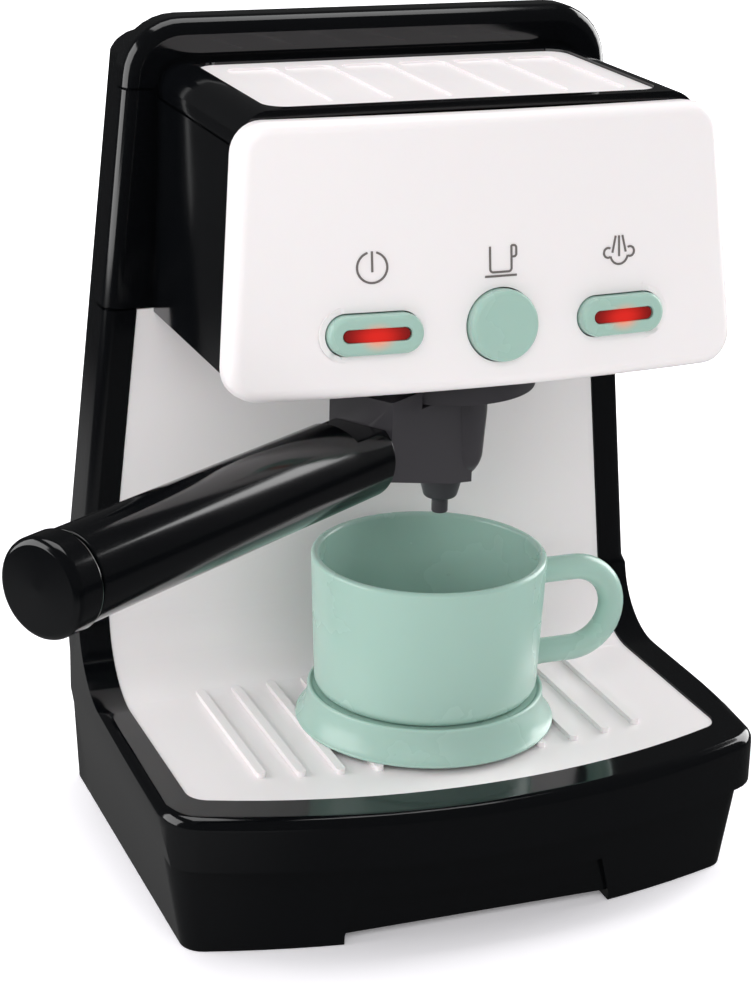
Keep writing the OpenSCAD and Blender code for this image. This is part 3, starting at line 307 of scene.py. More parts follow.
def join_flats(ob):
    """Joins faces that lie in one plane."""
    edit(ob)
    bpy.ops.mesh.select_all(action="SELECT")
    bpy.ops.mesh.dissolve_limited(angle_limit=math.radians(0.3), delimit={"NORMAL"})
    return close(ob)


def select_points(ob, test):
    """Opens the object for editing with the points that pass the test selected."""
    edit(ob)
    bpy.ops.object.mode_set(mode="OBJECT")
    for v in ob.data.vertices:
        v.select = test(v.co)
    bpy.ops.object.mode_set(mode="EDIT")


def merge_close(ob, where, reach):
    """Merges points along an edge that lie closer together than its rounding can take."""
    select_points(ob, where)
    bpy.ops.mesh.remove_doubles(threshold=reach)
    return close(ob)


def cut_strips(ob, places, across=(1, 0, 0)):
    """Cuts the mesh into strips, so that it can follow a bow."""
    edit(ob)
    for x in places:
        bpy.ops.mesh.select_all(action="SELECT")
        bpy.ops.mesh.bisect(plane_co=Vector(across) * x, plane_no=across)
    return close(ob)


# Faces that meet at more than this have an edge between them
SHARP = math.radians(30)


def sharp_edges(ob):
    """The edges of a piece: index, both ends, middle, way out, and whether they stand out."""
    me = ob.data
    faces = {}
    for f in me.polygons:
        for k in f.edge_keys:
            faces.setdefault(k, []).append(f)
    found = []
    for e in me.edges:
        near = faces.get(e.key, [])
        if len(near) != 2:
            continue
        a, b = near[0].normal, near[1].normal
        if a.angle(b, 0) < SHARP:
            continue
        u, v = (me.vertices[i].co for i in e.vertices)
        middle = (u + v) / 2
        out = (a + b).normalized()
        convex = (near[0].center - middle).dot(b) < 0
        found.append((e.index, u.copy(), v.copy(), middle, out, convex))
    return found


def round_edges(ob, width, where=None, segments=3, outer=False):
    """Rounds the open edges whose ends pass the test, or with outer all that pass, at full width."""
    pick = []
    for i, u, v, middle, out, convex in sharp_edges(ob):
        if not convex or (where and not (where(u) and where(v))):
            continue
        if not outer and ob.ray_cast(middle + out * 0.02 * MM, out, distance=0.25)[0]:
            continue
        pick.append(i)
    edit(ob, "EDGE")
    bpy.ops.object.mode_set(mode="OBJECT")
    for i in pick:
        ob.data.edges[i].select = True
    if pick:
        bpy.ops.object.mode_set(mode="EDIT")
        bpy.ops.mesh.bevel(offset=width, offset_type="OFFSET", segments=segments, profile=0.5,
                           affect="EDGES", clamp_overlap=not outer)
        bpy.ops.object.mode_set(mode="OBJECT")
    return len(pick)


def finish(ob, material, body, nodes, angle=35.0):
    """Shades the piece, gives it its material and body, and lets it stand for its nodes."""
    only(ob)
    bpy.ops.object.shade_smooth_by_angle(angle=math.radians(angle))
    weigh = ob.modifiers.new("face_weights", "WEIGHTED_NORMAL")
    weigh.keep_sharp = True
    weigh.mode = "FACE_AREA"
    bpy.ops.object.modifier_apply(modifier=weigh.name)
    ob.data.materials.clear()
    ob.data.materials.append(material)
    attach(ob, body)
    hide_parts(*nodes)
    ob.select_set(False)
    return ob


def true_normals(ob, normal_at):
    """Gives the corners of a piece the normals of its true round shape, where the function knows it."""
    me = ob.data
    normals = [Vector(n.vector) for n in me.corner_normals]
    for f in me.polygons:
        for i in f.loop_indices:
            want = normal_at(me.vertices[me.loops[i].vertex_index].co)
            if want and want.dot(f.normal) > 0.75:
                normals[i] = want
    me.normals_split_custom_set(normals)


def place(ob, matrix):
    """Puts the piece's place into its mesh."""
    only(ob)
    ob.matrix_world = matrix
    bpy.ops.object.transform_apply(location=True, rotation=True, scale=True)
    return ob


def turned(name, profile, segments=128):
    """A turned piece: a circle extruded and scaled along (radius, height), closed at its ends."""
    (r, z) = profile[0]
    bpy.ops.object.select_all(action="DESELECT")
    bpy.ops.mesh.primitive_circle_add(vertices=segments, radius=r, fill_type="NOTHING")
    ob = bpy.context.object
    ob.name = name
    bpy.ops.object.mode_set(mode="EDIT")
    bpy.ops.mesh.select_all(action="SELECT")
    bpy.ops.transform.translate(value=(0, 0, z))
    for r2, z2 in profile[1:]:
        bpy.ops.mesh.extrude_edges_move()
        bpy.ops.transform.resize(value=(r2 / r, r2 / r, 1), center_override=(0, 0, z))
        bpy.ops.transform.translate(value=(0, 0, z2 - z))
        r, z = r2, z2
    bpy.ops.mesh.select_all(action="SELECT")
    bpy.ops.mesh.fill_holes(sides=0)
    bpy.ops.mesh.select_all(action="SELECT")
    bpy.ops.mesh.normals_make_consistent(inside=False)
    return close(ob)


def pull_apart(ob, length):
    """Moves the halves of a turned piece apart, which makes its rounds oval."""
    place(ob, Matrix.Rotation(math.pi / 64, 4, "Z"))
    for side in (-1, 1):
        select_points(ob, lambda p: p.x * side > 0)
        bpy.ops.transform.translate(value=(side * length / 2, 0, 0))
        close(ob)
    return ob


def bend(cx, cz, r, a0, a1, steps=6):
    """Points of a round corner in a profile."""
    turn = [math.radians(a0 + (a1 - a0) * i / steps) for i in range(steps + 1)]
    return [(cx + r * math.cos(a), cz + r * math.sin(a)) for a in turn]


# ---- sizes and colours ----------------------------------------------------------------
class ToyShellSettings(bpy.types.PropertyGroup):
    """Roundings and colours of the housing."""
    crease: bpy.props.FloatProperty(
        name="Hoop rounding", description="Rounding along the outer edge of the hoop",
        default=5.5 * MM, min=1 * MM, max=6 * MM, unit="LENGTH")
    rim_crease: bpy.props.FloatProperty(
        name="Rim rounding",
        description="Rounding along the outer edge of the uprights and the tray rim",
        default=4 * MM, min=1 * MM, max=6 * MM, unit="LENGTH")
    front_round: bpy.props.FloatProperty(
        name="Front rounding", description="Rounding along the edge of the white front",
        default=4.2 * MM, min=1 * MM, max=6 * MM, unit="LENGTH")
    seam_round: bpy.props.FloatProperty(
        name="Seam rounding", description="Rounding along seams, holes and rims",
        default=0.5 * MM, min=0.1 * MM, max=1 * MM, unit="LENGTH")
    black: bpy.props.FloatVectorProperty(
        name="Black", description="Colour of the black shells", subtype="COLOR", size=4,
        default=linear("#07080A"), min=0, max=1)
    white: bpy.props.FloatVectorProperty(
        name="White", description="Colour of the white shells", subtype="COLOR", size=4,
        default=linear("#EFEAEB"), min=0, max=1)


class ToyTrimSettings(bpy.types.PropertyGroup):
    """Roundings and colours of the controls, the brew group and the tableware."""
    crown_round: bpy.props.FloatProperty(
        name="Crown rounding", description="Rounding round the crown of a button",
        default=1.7 * MM, min=0.3 * MM, max=2.4 * MM, unit="LENGTH")
    neck_round: bpy.props.FloatProperty(
        name="Neck rounding", description="Rounding along the neck of the filter holder",
        default=1.6 * MM, min=0.3 * MM, max=2.5 * MM, unit="LENGTH")
    cap_round: bpy.props.FloatProperty(
        name="Cap rounding", description="Rounding round the end of the handle",
        default=2.6 * MM, min=0.5 * MM, max=4 * MM, unit="LENGTH")
    mint: bpy.props.FloatVectorProperty(
        name="Mint", description="Colour of the buttons, cup and saucer", subtype="COLOR", size=4,
        default=linear("#A1C0B5"), min=0, max=1)
    grey: bpy.props.FloatVectorProperty(
        name="Grey", description="Colour of the brew group", subtype="COLOR", size=4,
        default=linear("#38363A"), min=0, max=1)
    red: bpy.props.FloatVectorProperty(
        name="Red", description="Colour of the lit windows", subtype="COLOR", size=4,
        default=linear("#D8261C"), min=0, max=1)


class ToyStudioSettings(bpy.types.PropertyGroup):
    """Strength of the soft lights."""
    side_light: bpy.props.FloatProperty(
        name="Left light", description="Power of the soft box on the left", default=10, min=0,
        unit="POWER")
    right_light: bpy.props.FloatProperty(
        name="Right light", description="Power of the soft box on the right", default=15, min=0,
        unit="POWER")
    top_light: bpy.props.FloatProperty(
        name="Top light", description="Power of the soft box overhead", default=8.5, min=0,
        unit="POWER")
    fill_light: bpy.props.FloatProperty(
        name="Fill light", description="Power of the broad fill from the front", default=24, min=0,
        unit="POWER")


# ---- housing --------------------------------------------------------------------------
# Frame of the leaning white front (-Y out of it), its bow, and the button holes in it
FACE = Matrix.Translation((0, -69.2 * MM, 225 * MM)) @ Matrix.Rotation(math.radians(-7.6), 4, "X")
FACE_BOW = 373 * MM
BUTTON_UP = -22 * MM
OVAL_X, OVAL_W, OVAL_H, ROUND_D = 40.5 * MM, 29.2 * MM, 12.2 * MM, 22.1 * MM
BUTTON_HOLES = ((-OVAL_X, OVAL_W, OVAL_H), (0, ROUND_D, ROUND_D), (OVAL_X, OVAL_W, OVAL_H))


def bow(x):
    """How far the white front falls back at a distance from its middle."""
    return FACE_BOW - math.sqrt(FACE_BOW ** 2 - x * x)


# Main faces of the housing, as the part has them
UPRIGHT_FACE = 39.2 * MM
TRAY_TOP = 51 * MM
FILLET = 27 * MM
TAPER = 75 * MM
RIM_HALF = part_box("lower_frame")[1][0]
RIM_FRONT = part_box("lower_frame")[0][1]
RIM_BOW = 263 * MM
TOP_HALF = 84.2 * MM
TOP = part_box("top_cover")[1][2]
# How near to an outer edge a point counts as on it, and where the sides of the rim run straight
NEAR_EDGE, ON_FACE = 5 * MM, 0.1 * MM
STRAIGHT_SIDE = -45 * MM


def half_width(z):
    """Half width of the housing at a height."""
    k = max(0.0, (z - TAPER) / (TOP - TAPER))
    return RIM_HALF + (TOP_HALF - RIM_HALF) * k


def off_profile(p):
    """How far a point lies from the line of upright, fillet and tray in the side view."""
    y, z = UPRIGHT_FACE - FILLET, TRAY_TOP + FILLET
    if p.z > z:
        return abs(p.y - UPRIGHT_FACE)
    if p.y < y:
        return abs(p.z - TRAY_TOP)
    return abs(math.hypot(p.y - y, p.z - z) - FILLET)


def by_rim(p):
    """True near the housing's side or the bowed rim."""
    rim = RIM_FRONT + RIM_BOW - math.sqrt(RIM_BOW ** 2 - p.x ** 2)
    return abs(p.x) > half_width(p.z) - NEAR_EDGE or p.y < rim + NEAR_EDGE


def crease_normal(p, width):
    """The normal of the upright, fillet and tray and of the rounded edge at their side."""
    side, front = half_width(p.z) - abs(p.x), off_profile(p)
    if front > width or p.y < STRAIGHT_SIDE or side < -ON_FACE:
        return None
    y, z = UPRIGHT_FACE - FILLET, TRAY_TOP + FILLET
    if p.y < y:
        ahead = Vector((0, 0, 1))
    elif p.z > z:
        ahead = Vector((0, -1, 0))
    else:
        ahead = Vector((0, y - p.y, z - p.z))
    lean = (RIM_HALF - TOP_HALF) / (TOP - TAPER) if p.z > TAPER else 0
    out = Vector((math.copysign(1, p.x), 0, lean)).normalized()
    return (out * max(width - side, 0) + ahead.normalized() * max(width - front, 0)).normalized()


def on_crease(p):
    """True on the outer edge of the uprights and of the tray rim."""
    return off_profile(p) < ON_FACE and by_rim(p)


def on_hoop(p):
    """True on the outer edge of the hoop, clear of the head."""
    outside = abs(p.x) > half_width(p.z) - NEAR_EDGE or p.z > TOP - 6 * MM
    return abs(p.y - UPRIGHT_FACE) < ON_FACE and outside


# Shortest step that the outer rounding can take, and the small roundings of single pieces
SHORT_STEP = 1.2 * MM
BASE_ROUND, DOOR_ROUND, PLATE_ROUND, HOLE_ROUND = 1.2 * MM, 0.3 * MM, 0.6 * MM, 0.35 * MM


class TOY_OT_shells(bpy.types.Operator):
    """Rounds and finishes the black shells of the housing"""
    bl_idname = "toy.shells"
    bl_label = "Black shells"

    def execute(self, context):
        s = context.scene.toy_shells
        for node, where, width in (("lower_frame", on_crease, s.rim_crease),
                                   ("head_housing", on_hoop, s.crease),
                                   ("top_cover", on_hoop, s.crease)):
            ob = merge_close(copy_node(node, node + "_shell"), where, SHORT_STEP)
            if not round_edges(ob, width, where, segments=7, outer=True):
                raise RuntimeError("no outer edge found on " + node)
            round_edges(ob, s.seam_round, segments=2)
            finish(ob, black_gloss(), "housing", [node])
            if node == "lower_frame":
                true_normals(ob, lambda p: crease_normal(p, s.rim_crease))
        ob = copy_node("rear_cover", "rear_cover_shell")
        round_edges(ob, s.seam_round, segments=2)
        finish(ob, black_gloss(), "housing", ["rear_cover"])
        ob = copy_node("base_tub", "base_tub_shell")
        round_edges(ob, BASE_ROUND, segments=4)
        finish(ob, black_gloss(), "housing", ["base_tub"])
        ob = copy_node("battery_door", "battery_door_leaf")
        round_edges(ob, DOOR_ROUND, segments=2)
        finish(ob, black_gloss(), "door", ["battery_door"])
        return {"FINISHED"}


class TOY_OT_white(bpy.types.Operator):
    """Rounds and finishes the white tray, warming plate and front"""
    bl_idname = "toy.white"
    bl_label = "White panels"

    def execute(self, context):
        s = context.scene.toy_shells
        ob = copy_node("tray_panel", "tray_panel_moulding")
        round_edges(ob, s.seam_round, segments=3)
        finish(ob, white_gloss(), "housing", ["tray_panel"])
        ob = copy_node("cup_warmer", "warming_plate")
        round_edges(ob, PLATE_ROUND, segments=3)
        finish(ob, white_gloss(), "housing", ["cup_warmer"])
        self.front(s)
        NODES["pictograms"].data.materials.clear()
        NODES["pictograms"].data.materials.append(printed_ink())
        return {"FINISHED"}

    def front(self, s):
        """The bowed white front: laid flat, rounded along its rim, cut in strips and bowed again."""
        ob = place(copy_node("front_fascia", "white_front", plain=False), FACE.inverted())
        for v in ob.data.vertices:
            v.co.y -= bow(v.co.x)
            if abs(v.co.y) < 0.1 * MM:
                v.co.y = 0.0
        join_flats(ob)

        def front_rim(p):
            by_button = any(abs(p.x - x) < w / 2 + 3 * MM and abs(p.z - BUTTON_UP) < h / 2 + 3 * MM
                            for x, w, h in BUTTON_HOLES)
            return p.y < 0.05 * MM and not by_button

        if not round_edges(ob, s.front_round, front_rim, segments=8, outer=True):
            raise RuntimeError("no rim found on the white front")
        round_edges(ob, HOLE_ROUND, lambda p: p.y < 0.5 * MM, segments=2)
        strip, straight = 6 * MM, (OVAL_W - OVAL_H) / 2
        round_ends = [x + end * straight for x in (-OVAL_X, OVAL_X) for end in (-1, 1)]
        cut_strips(ob, [i * strip for i in range(-14, 15)] + round_ends)
        cut_strips(ob, [i * strip for i in range(-7, 8)], (0, 0, 1))
        for v in ob.data.vertices:
            v.co.y += bow(v.co.x)
        finish(place(ob, FACE), white_gloss(), "housing", ["front_fascia"])
        upright, back = FACE.inverted(), FACE.to_3x3()

        def front_normal(p):
            q = upright @ p
            if abs(q.y - bow(q.x)) > 0.02 * MM:
                return None
            k = q.x / FACE_BOW
            return back @ Vector((k, -math.sqrt(1 - k * k), 0))

        true_normals(ob, front_normal)


# ---- controls -------------------------------------------------------------------------
PROUD, SKIRT, KEY_FOOT = 4 * MM, 1.4 * MM, -15 * MM
LENS_W, LENS_H = 20.4 * MM, 3.9 * MM


class TOY_OT_controls(bpy.types.Operator):
    """Rounds and finishes the three buttons and their lit windows"""
    bl_idname = "toy.controls"
    bl_label = "Buttons"

    def execute(self, context):
        s = context.scene.toy_trim
        for side, x in (("power", -OVAL_X), ("steam", OVAL_X)):
            key = self.oval_key(side, x, s.crown_round)
            finish(key, lit_mint(side), side + "_key", [side + "_button"])
            finish(self.window(side, x), lit_red(side), side + "_key", [side + "_lens"])
        r = ROUND_D / 2
        soft = s.crown_round
        profile = [(r - SKIRT, 1.8 * MM), (r - SKIRT, KEY_FOOT), (r + 2 * MM, KEY_FOOT),
                   (r + 2 * MM, KEY_FOOT + 1.7 * MM), (r, KEY_FOOT + 1.7 * MM)]
        profile += bend(r - soft, PROUD - soft, soft, 0, 90, 8) + [(0.3 * MM, PROUD)]
        ob = place(turned("brew_key", profile), self.seat(0))
        finish(ob, mint_gloss(), "brew_key", ["brew_button"], angle=50)
        return {"FINISHED"}

    def seat(self, x):
        """The frame of a button: +Z out of the white front."""
        return FACE @ Matrix.Translation((x, 0, BUTTON_UP)) @ Matrix.Rotation(math.radians(90), 4, "X")

    def follow_bow(self, ob, x):
        """Cuts an oval piece in strips, bows it with the white front and puts it in its seat."""
        cut_strips(ob, [i * 2.4 * MM for i in range(-6, 7)])
        for v in ob.data.vertices:
            v.co.z -= bow(x + v.co.x)
        return place(ob, self.seat(x))

    def oval_key(self, side, x, soft):
        """An oval button: a turned ring with a soft crown, pulled apart, open for its window."""
        r, hole = OVAL_H / 2, LENS_H / 2 + 0.1 * MM
        foot = KEY_FOOT + 5.4 * MM
        profile = [(hole, 1 * MM), (hole, PROUD - 0.3 * MM), (hole + 0.3 * MM, PROUD)]
        profile += bend(r - soft, PROUD - soft, soft, 90, 0, 8)
        profile += [(r, foot + 1.7 * MM), (r + 1.6 * MM, foot + 1.7 * MM), (r + 1.6 * MM, foot)]
        ob = turned(side + "_key", profile, 64)
        return self.follow_bow(pull_apart(ob, OVAL_W - OVAL_H), x)

    def window(self, side, x):
        """The red window: a low oval bar with rounded edges, and its light guide behind."""
        r, top, soft = LENS_H / 2, PROUD - 0.5 * MM, 0.5 * MM
        profile = [(0.3 * MM, top)] + bend(r - soft, top - soft, soft, 90, 0, 4)
        profile += [(r, 0), (1.7 * MM, 0), (1.7 * MM, -9.4 * MM)]
        ob = turned(side + "_window", profile, 64)
        return self.follow_bow(pull_apart(ob, LENS_W - LENS_H), x)


# ---- brew group -----------------------------------------------------------------------
GROUP = Vector((0, -29 * MM, 0))
HANDLE_TURN = math.radians(180 + 33.5)
HANDLE_Z = 159.6 * MM
COLLAR_ROUND, GRIP_ROUND = 0.8 * MM, 1 * MM
# Foot of the collar: above it the filter holder is out of sight
COLLAR_FOOT = 180 * MM


def along_handle():
    """The handle's frame: +Z out along the handle from the group's axis."""
    return (Matrix.Translation(GROUP + Vector((0, 0, HANDLE_Z))) @ Matrix.Rotation(HANDLE_TURN, 4, "Z")
            @ Matrix.Rotation(math.radians(90), 4, "Y"))


class TOY_OT_group(bpy.types.Operator):
    """Rounds and finishes the collar, filter holder, spout and handle"""
    bl_idname = "toy.group"
    bl_label = "Brew group"

    def execute(self, context):
        s = context.scene.toy_trim
        ob = copy_node("group_collar", "collar")
        round_edges(ob, COLLAR_ROUND, segments=3)
        finish(ob, grey_satin(), "housing", ["group_collar"])
        ob = copy_node("filter_holder", "filter_holder_casting")
        round_edges(ob, s.neck_round, lambda p: p.z < COLLAR_FOOT, segments=4)
        finish(ob, grey_satin(), "filter_arm", ["filter_holder"], angle=45)
        spout = turned("spout_tip", [(1.4 * MM, 140 * MM), (1.4 * MM, 128.6 * MM)]
                       + bend(2.1 * MM, 128.6 * MM, 0.6 * MM, 180, 360, 8)
                       + [(2.7 * MM, 132.4 * MM)] + bend(4.2 * MM, 134.9 * MM, 1.5 * MM, 230, 350, 8)
                       + [(7.1 * MM, 140 * MM)], 64)
        place(spout, Matrix.Translation(GROUP))
        finish(spout, grey_satin(), "filter_arm", ["spout"])
        ob = copy_node("handle_grip", "handle_tube")
        round_edges(ob, GRIP_ROUND, segments=4)
        finish(ob, black_grip_gloss(), "filter_arm", ["handle_grip"], angle=40)
        cap = self.cap(s.cap_round)
        finish(cap, black_grip_gloss(), "filter_arm", ["handle_cap"])
        NODES["filter_basket"].data.materials.clear()
        NODES["filter_basket"].data.materials.append(nickel())
        NODES["handle_screw"].data.materials.clear()
        NODES["handle_screw"].data.materials.append(nickel())
        return {"FINISHED"}

    def cap(self, r):
        """The end cap: a spigot, a groove and a rounded disc."""
        end, length, radius, tube = 191 * MM, 12 * MM, 14.5 * MM, 13.8 * MM
        start = end - length
        profile = [(tube - 4.6 * MM, start + 6.5 * MM), (tube - 4.6 * MM, start - 8 * MM),
                   (tube - 2.7 * MM, start - 8 * MM), (tube - 2.7 * MM, start + 0.2 * MM),
                   (tube - 0.9 * MM, start + 0.2 * MM), (tube - 0.9 * MM, start + 1.2 * MM)]
        profile += bend(radius - 0.8 * MM, start + 2 * MM, 0.8 * MM, -90, 0, 4)
        profile += bend(radius - r, end - r - 0.5 * MM, r, 0, 80, 8)
        profile += [(0.5 * MM, end)]
        return place(turned("handle_end_cap", profile), along_handle())


# ---- tableware ------------------------------------------------------------------------
CUP = Vector((0, -21.5 * MM, 0))
TRAY_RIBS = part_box("saucer")[0][2]
CUP_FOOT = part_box("cup")[0][2]


class TOY_OT_tableware(bpy.types.Operator):
    """Turns the cup and the saucer and sets the cup's handle on"""
    bl_idname = "toy.tableware"
    bl_label = "Cup and saucer"

    def execute(self, context):
        ear, cup = self.ear(), self.cup()
        only(cup)
        ear.select_set(True)
        bpy.ops.object.join()
        finish(cup, mint_gloss(), "cup_body", ["cup"], angle=60)
        finish(self.saucer(), mint_gloss(), "saucer_body", ["saucer"], angle=45)
        return {"FINISHED"}

    def cup(self):
        """The cup: round foot, nearly straight wall, thick rounded rim."""
        foot, rim, height, wall, edge = 37.6 * MM, 39.3 * MM, 48 * MM, 2.7 * MM, 4 * MM
        profile = [(0.5 * MM, 0)] + bend(foot - edge, edge, edge, -90, 0)
        profile += bend(rim - wall / 2, height - wall / 2, wall / 2, 0, 180, 8)
        profile += bend(foot - wall - edge, wall + edge + 1 * MM, edge, 0, -90)
        profile += [(0.5 * MM, wall + 1 * MM)]
        return place(turned("tea_cup", profile), Matrix.Translation(CUP + Vector((0, 0, CUP_FOOT))))

    def ear(self):
        """The cup's handle: a round bar spun into a half ring, its ends flared on to the wall."""
        bar, ring = 4.4 * MM, 14.9 * MM
        middle = CUP + Vector((53.5 * MM, 0, CUP_FOOT + 21.3 * MM))
        bpy.ops.object.select_all(action="DESELECT")
        bpy.ops.mesh.primitive_circle_add(vertices=32, radius=bar, rotation=(0, math.radians(90), 0),
                                          location=middle + Vector((0, 0, ring)))
        ob = bpy.context.object
        ob.name = "cup_ear"
        only(ob)
        bpy.ops.object.transform_apply(location=True, rotation=True, scale=True)
        edit(ob)
        bpy.ops.mesh.select_all(action="SELECT")
        bpy.ops.mesh.spin(steps=28, angle=-math.pi, center=middle, axis=(0, 1, 0))
        for side in (1, -1):
            centre = middle + Vector((0, 0, side * ring))
            bpy.ops.object.mode_set(mode="OBJECT")
            select_points(ob, lambda p: abs(p.x - centre.x) < 0.01 * MM and (p.z - middle.z) * side > 0)
            size = 1.0
            for x, wide in ((42.5, 1.0), (40.8, 1.04), (39.8, 1.13), (39.2, 1.25), (37.4, 1.6)):
                bpy.ops.mesh.extrude_edges_move()
                bpy.ops.transform.translate(value=(CUP.x + x * MM - centre.x, 0, 0))
                centre.x = CUP.x + x * MM
                bpy.ops.transform.resize(value=(1, wide / size, wide / size), center_override=centre)
                size = wide
        bpy.ops.mesh.select_all(action="SELECT")
        bpy.ops.mesh.fill_holes(sides=0)
        bpy.ops.mesh.normals_make_consistent(inside=False)
        return close(ob)

    def saucer(self):
        """The saucer: a low ring round the cup's foot and a hollow flare out to a thin rim."""
        rim, height, wall = 43.7 * MM, 11 * MM, 1.8 * MM
        seat, flare, low = 38.1 * MM, 15 * MM, 10.6 * MM
        edge = seat + 1.7 * MM
        steep = math.degrees(math.asin((low - 1.5 * MM) / flare))
        under = math.degrees(math.asin(low / (flare + wall)))
        inner = math.degrees(math.asin((low - height + wall) / (flare + wall)))
        profile = [(0.5 * MM, height - wall)]
        profile += bend(edge + flare, low, flare + wall, 180 + inner, 180 + under, 10)
        profile += bend(rim - 0.6 * MM, 0.6 * MM, 0.6 * MM, -90, 60, 6)
        profile += bend(edge + flare, low, flare, 180 + steep, 180, 10)
        profile += bend(edge - 0.8 * MM, height, 0.8 * MM, 0, 120, 6)
        profile += [(seat, height + 0.3 * MM), (seat - 0.5 * MM, height), (0.5 * MM, height)]
        return place(turned("tea_saucer", profile), Matrix.Translation(CUP + Vector((0, 0, TRAY_RIBS))))


# ---- inner parts and fasteners --------------------------------------------------------
class TOY_OT_inner(bpy.types.Operator):
    """Finishes the fasteners, springs, batteries and electronics"""
    bl_idname = "toy.inner"
    bl_label = "Inner parts"

    def execute(self, context):
        for material, nodes in (
                (nickel(), ("housing_screws", "battery_contacts")),
                (dark_nylon(), ("battery_box", "button_switches", "speaker")),
                (solder_mask(), ("circuit_board",)),
                (cell_sleeve(), ("batteries",))):
            for node in nodes:
                NODES[node].data.materials.clear()
                NODES[node].data.materials.append(material)
        for side, x, keep in (("power", -OVAL_X, 0.828), ("steam", OVAL_X, 0.828), ("brew", 0, 0.872)):
            self.spring(side, x, keep)
        NODES["status_lamps"].data.materials.clear()
        NODES["status_lamps"].data.materials.append(
            moulded("tinted_red_lamp", context.scene.toy_trim.red, 0.15, ior=1.49))
        return {"FINISHED"}

    def spring(self, side, x, keep):
        """A return spring: a copy of its coil, finished in nickel, with a mesh of its own."""
        node = side + "_spring"
        ob = finish(copy_node(node, side + "_coil", plain=False), nickel(), "housing", [node])
        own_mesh(ob)


# ---- studio ---------------------------------------------------------------------------
def soft_box(name, place_at, aim, size, power, seen=True):
    """A rectangular soft light that looks at a point."""
    data = bpy.data.lights.new(name, "AREA")
    data.shape = "RECTANGLE"
    data.size, data.size_y = size
    data.energy = power
    ob = bpy.data.objects.new(name, data)
    bpy.context.scene.collection.objects.link(ob)
    ob.location = place_at
    ob.rotation_euler = (Vector(aim) - Vector(place_at)).to_track_quat("-Z", "Y").to_euler()
    ob.visible_glossy = seen
    return ob


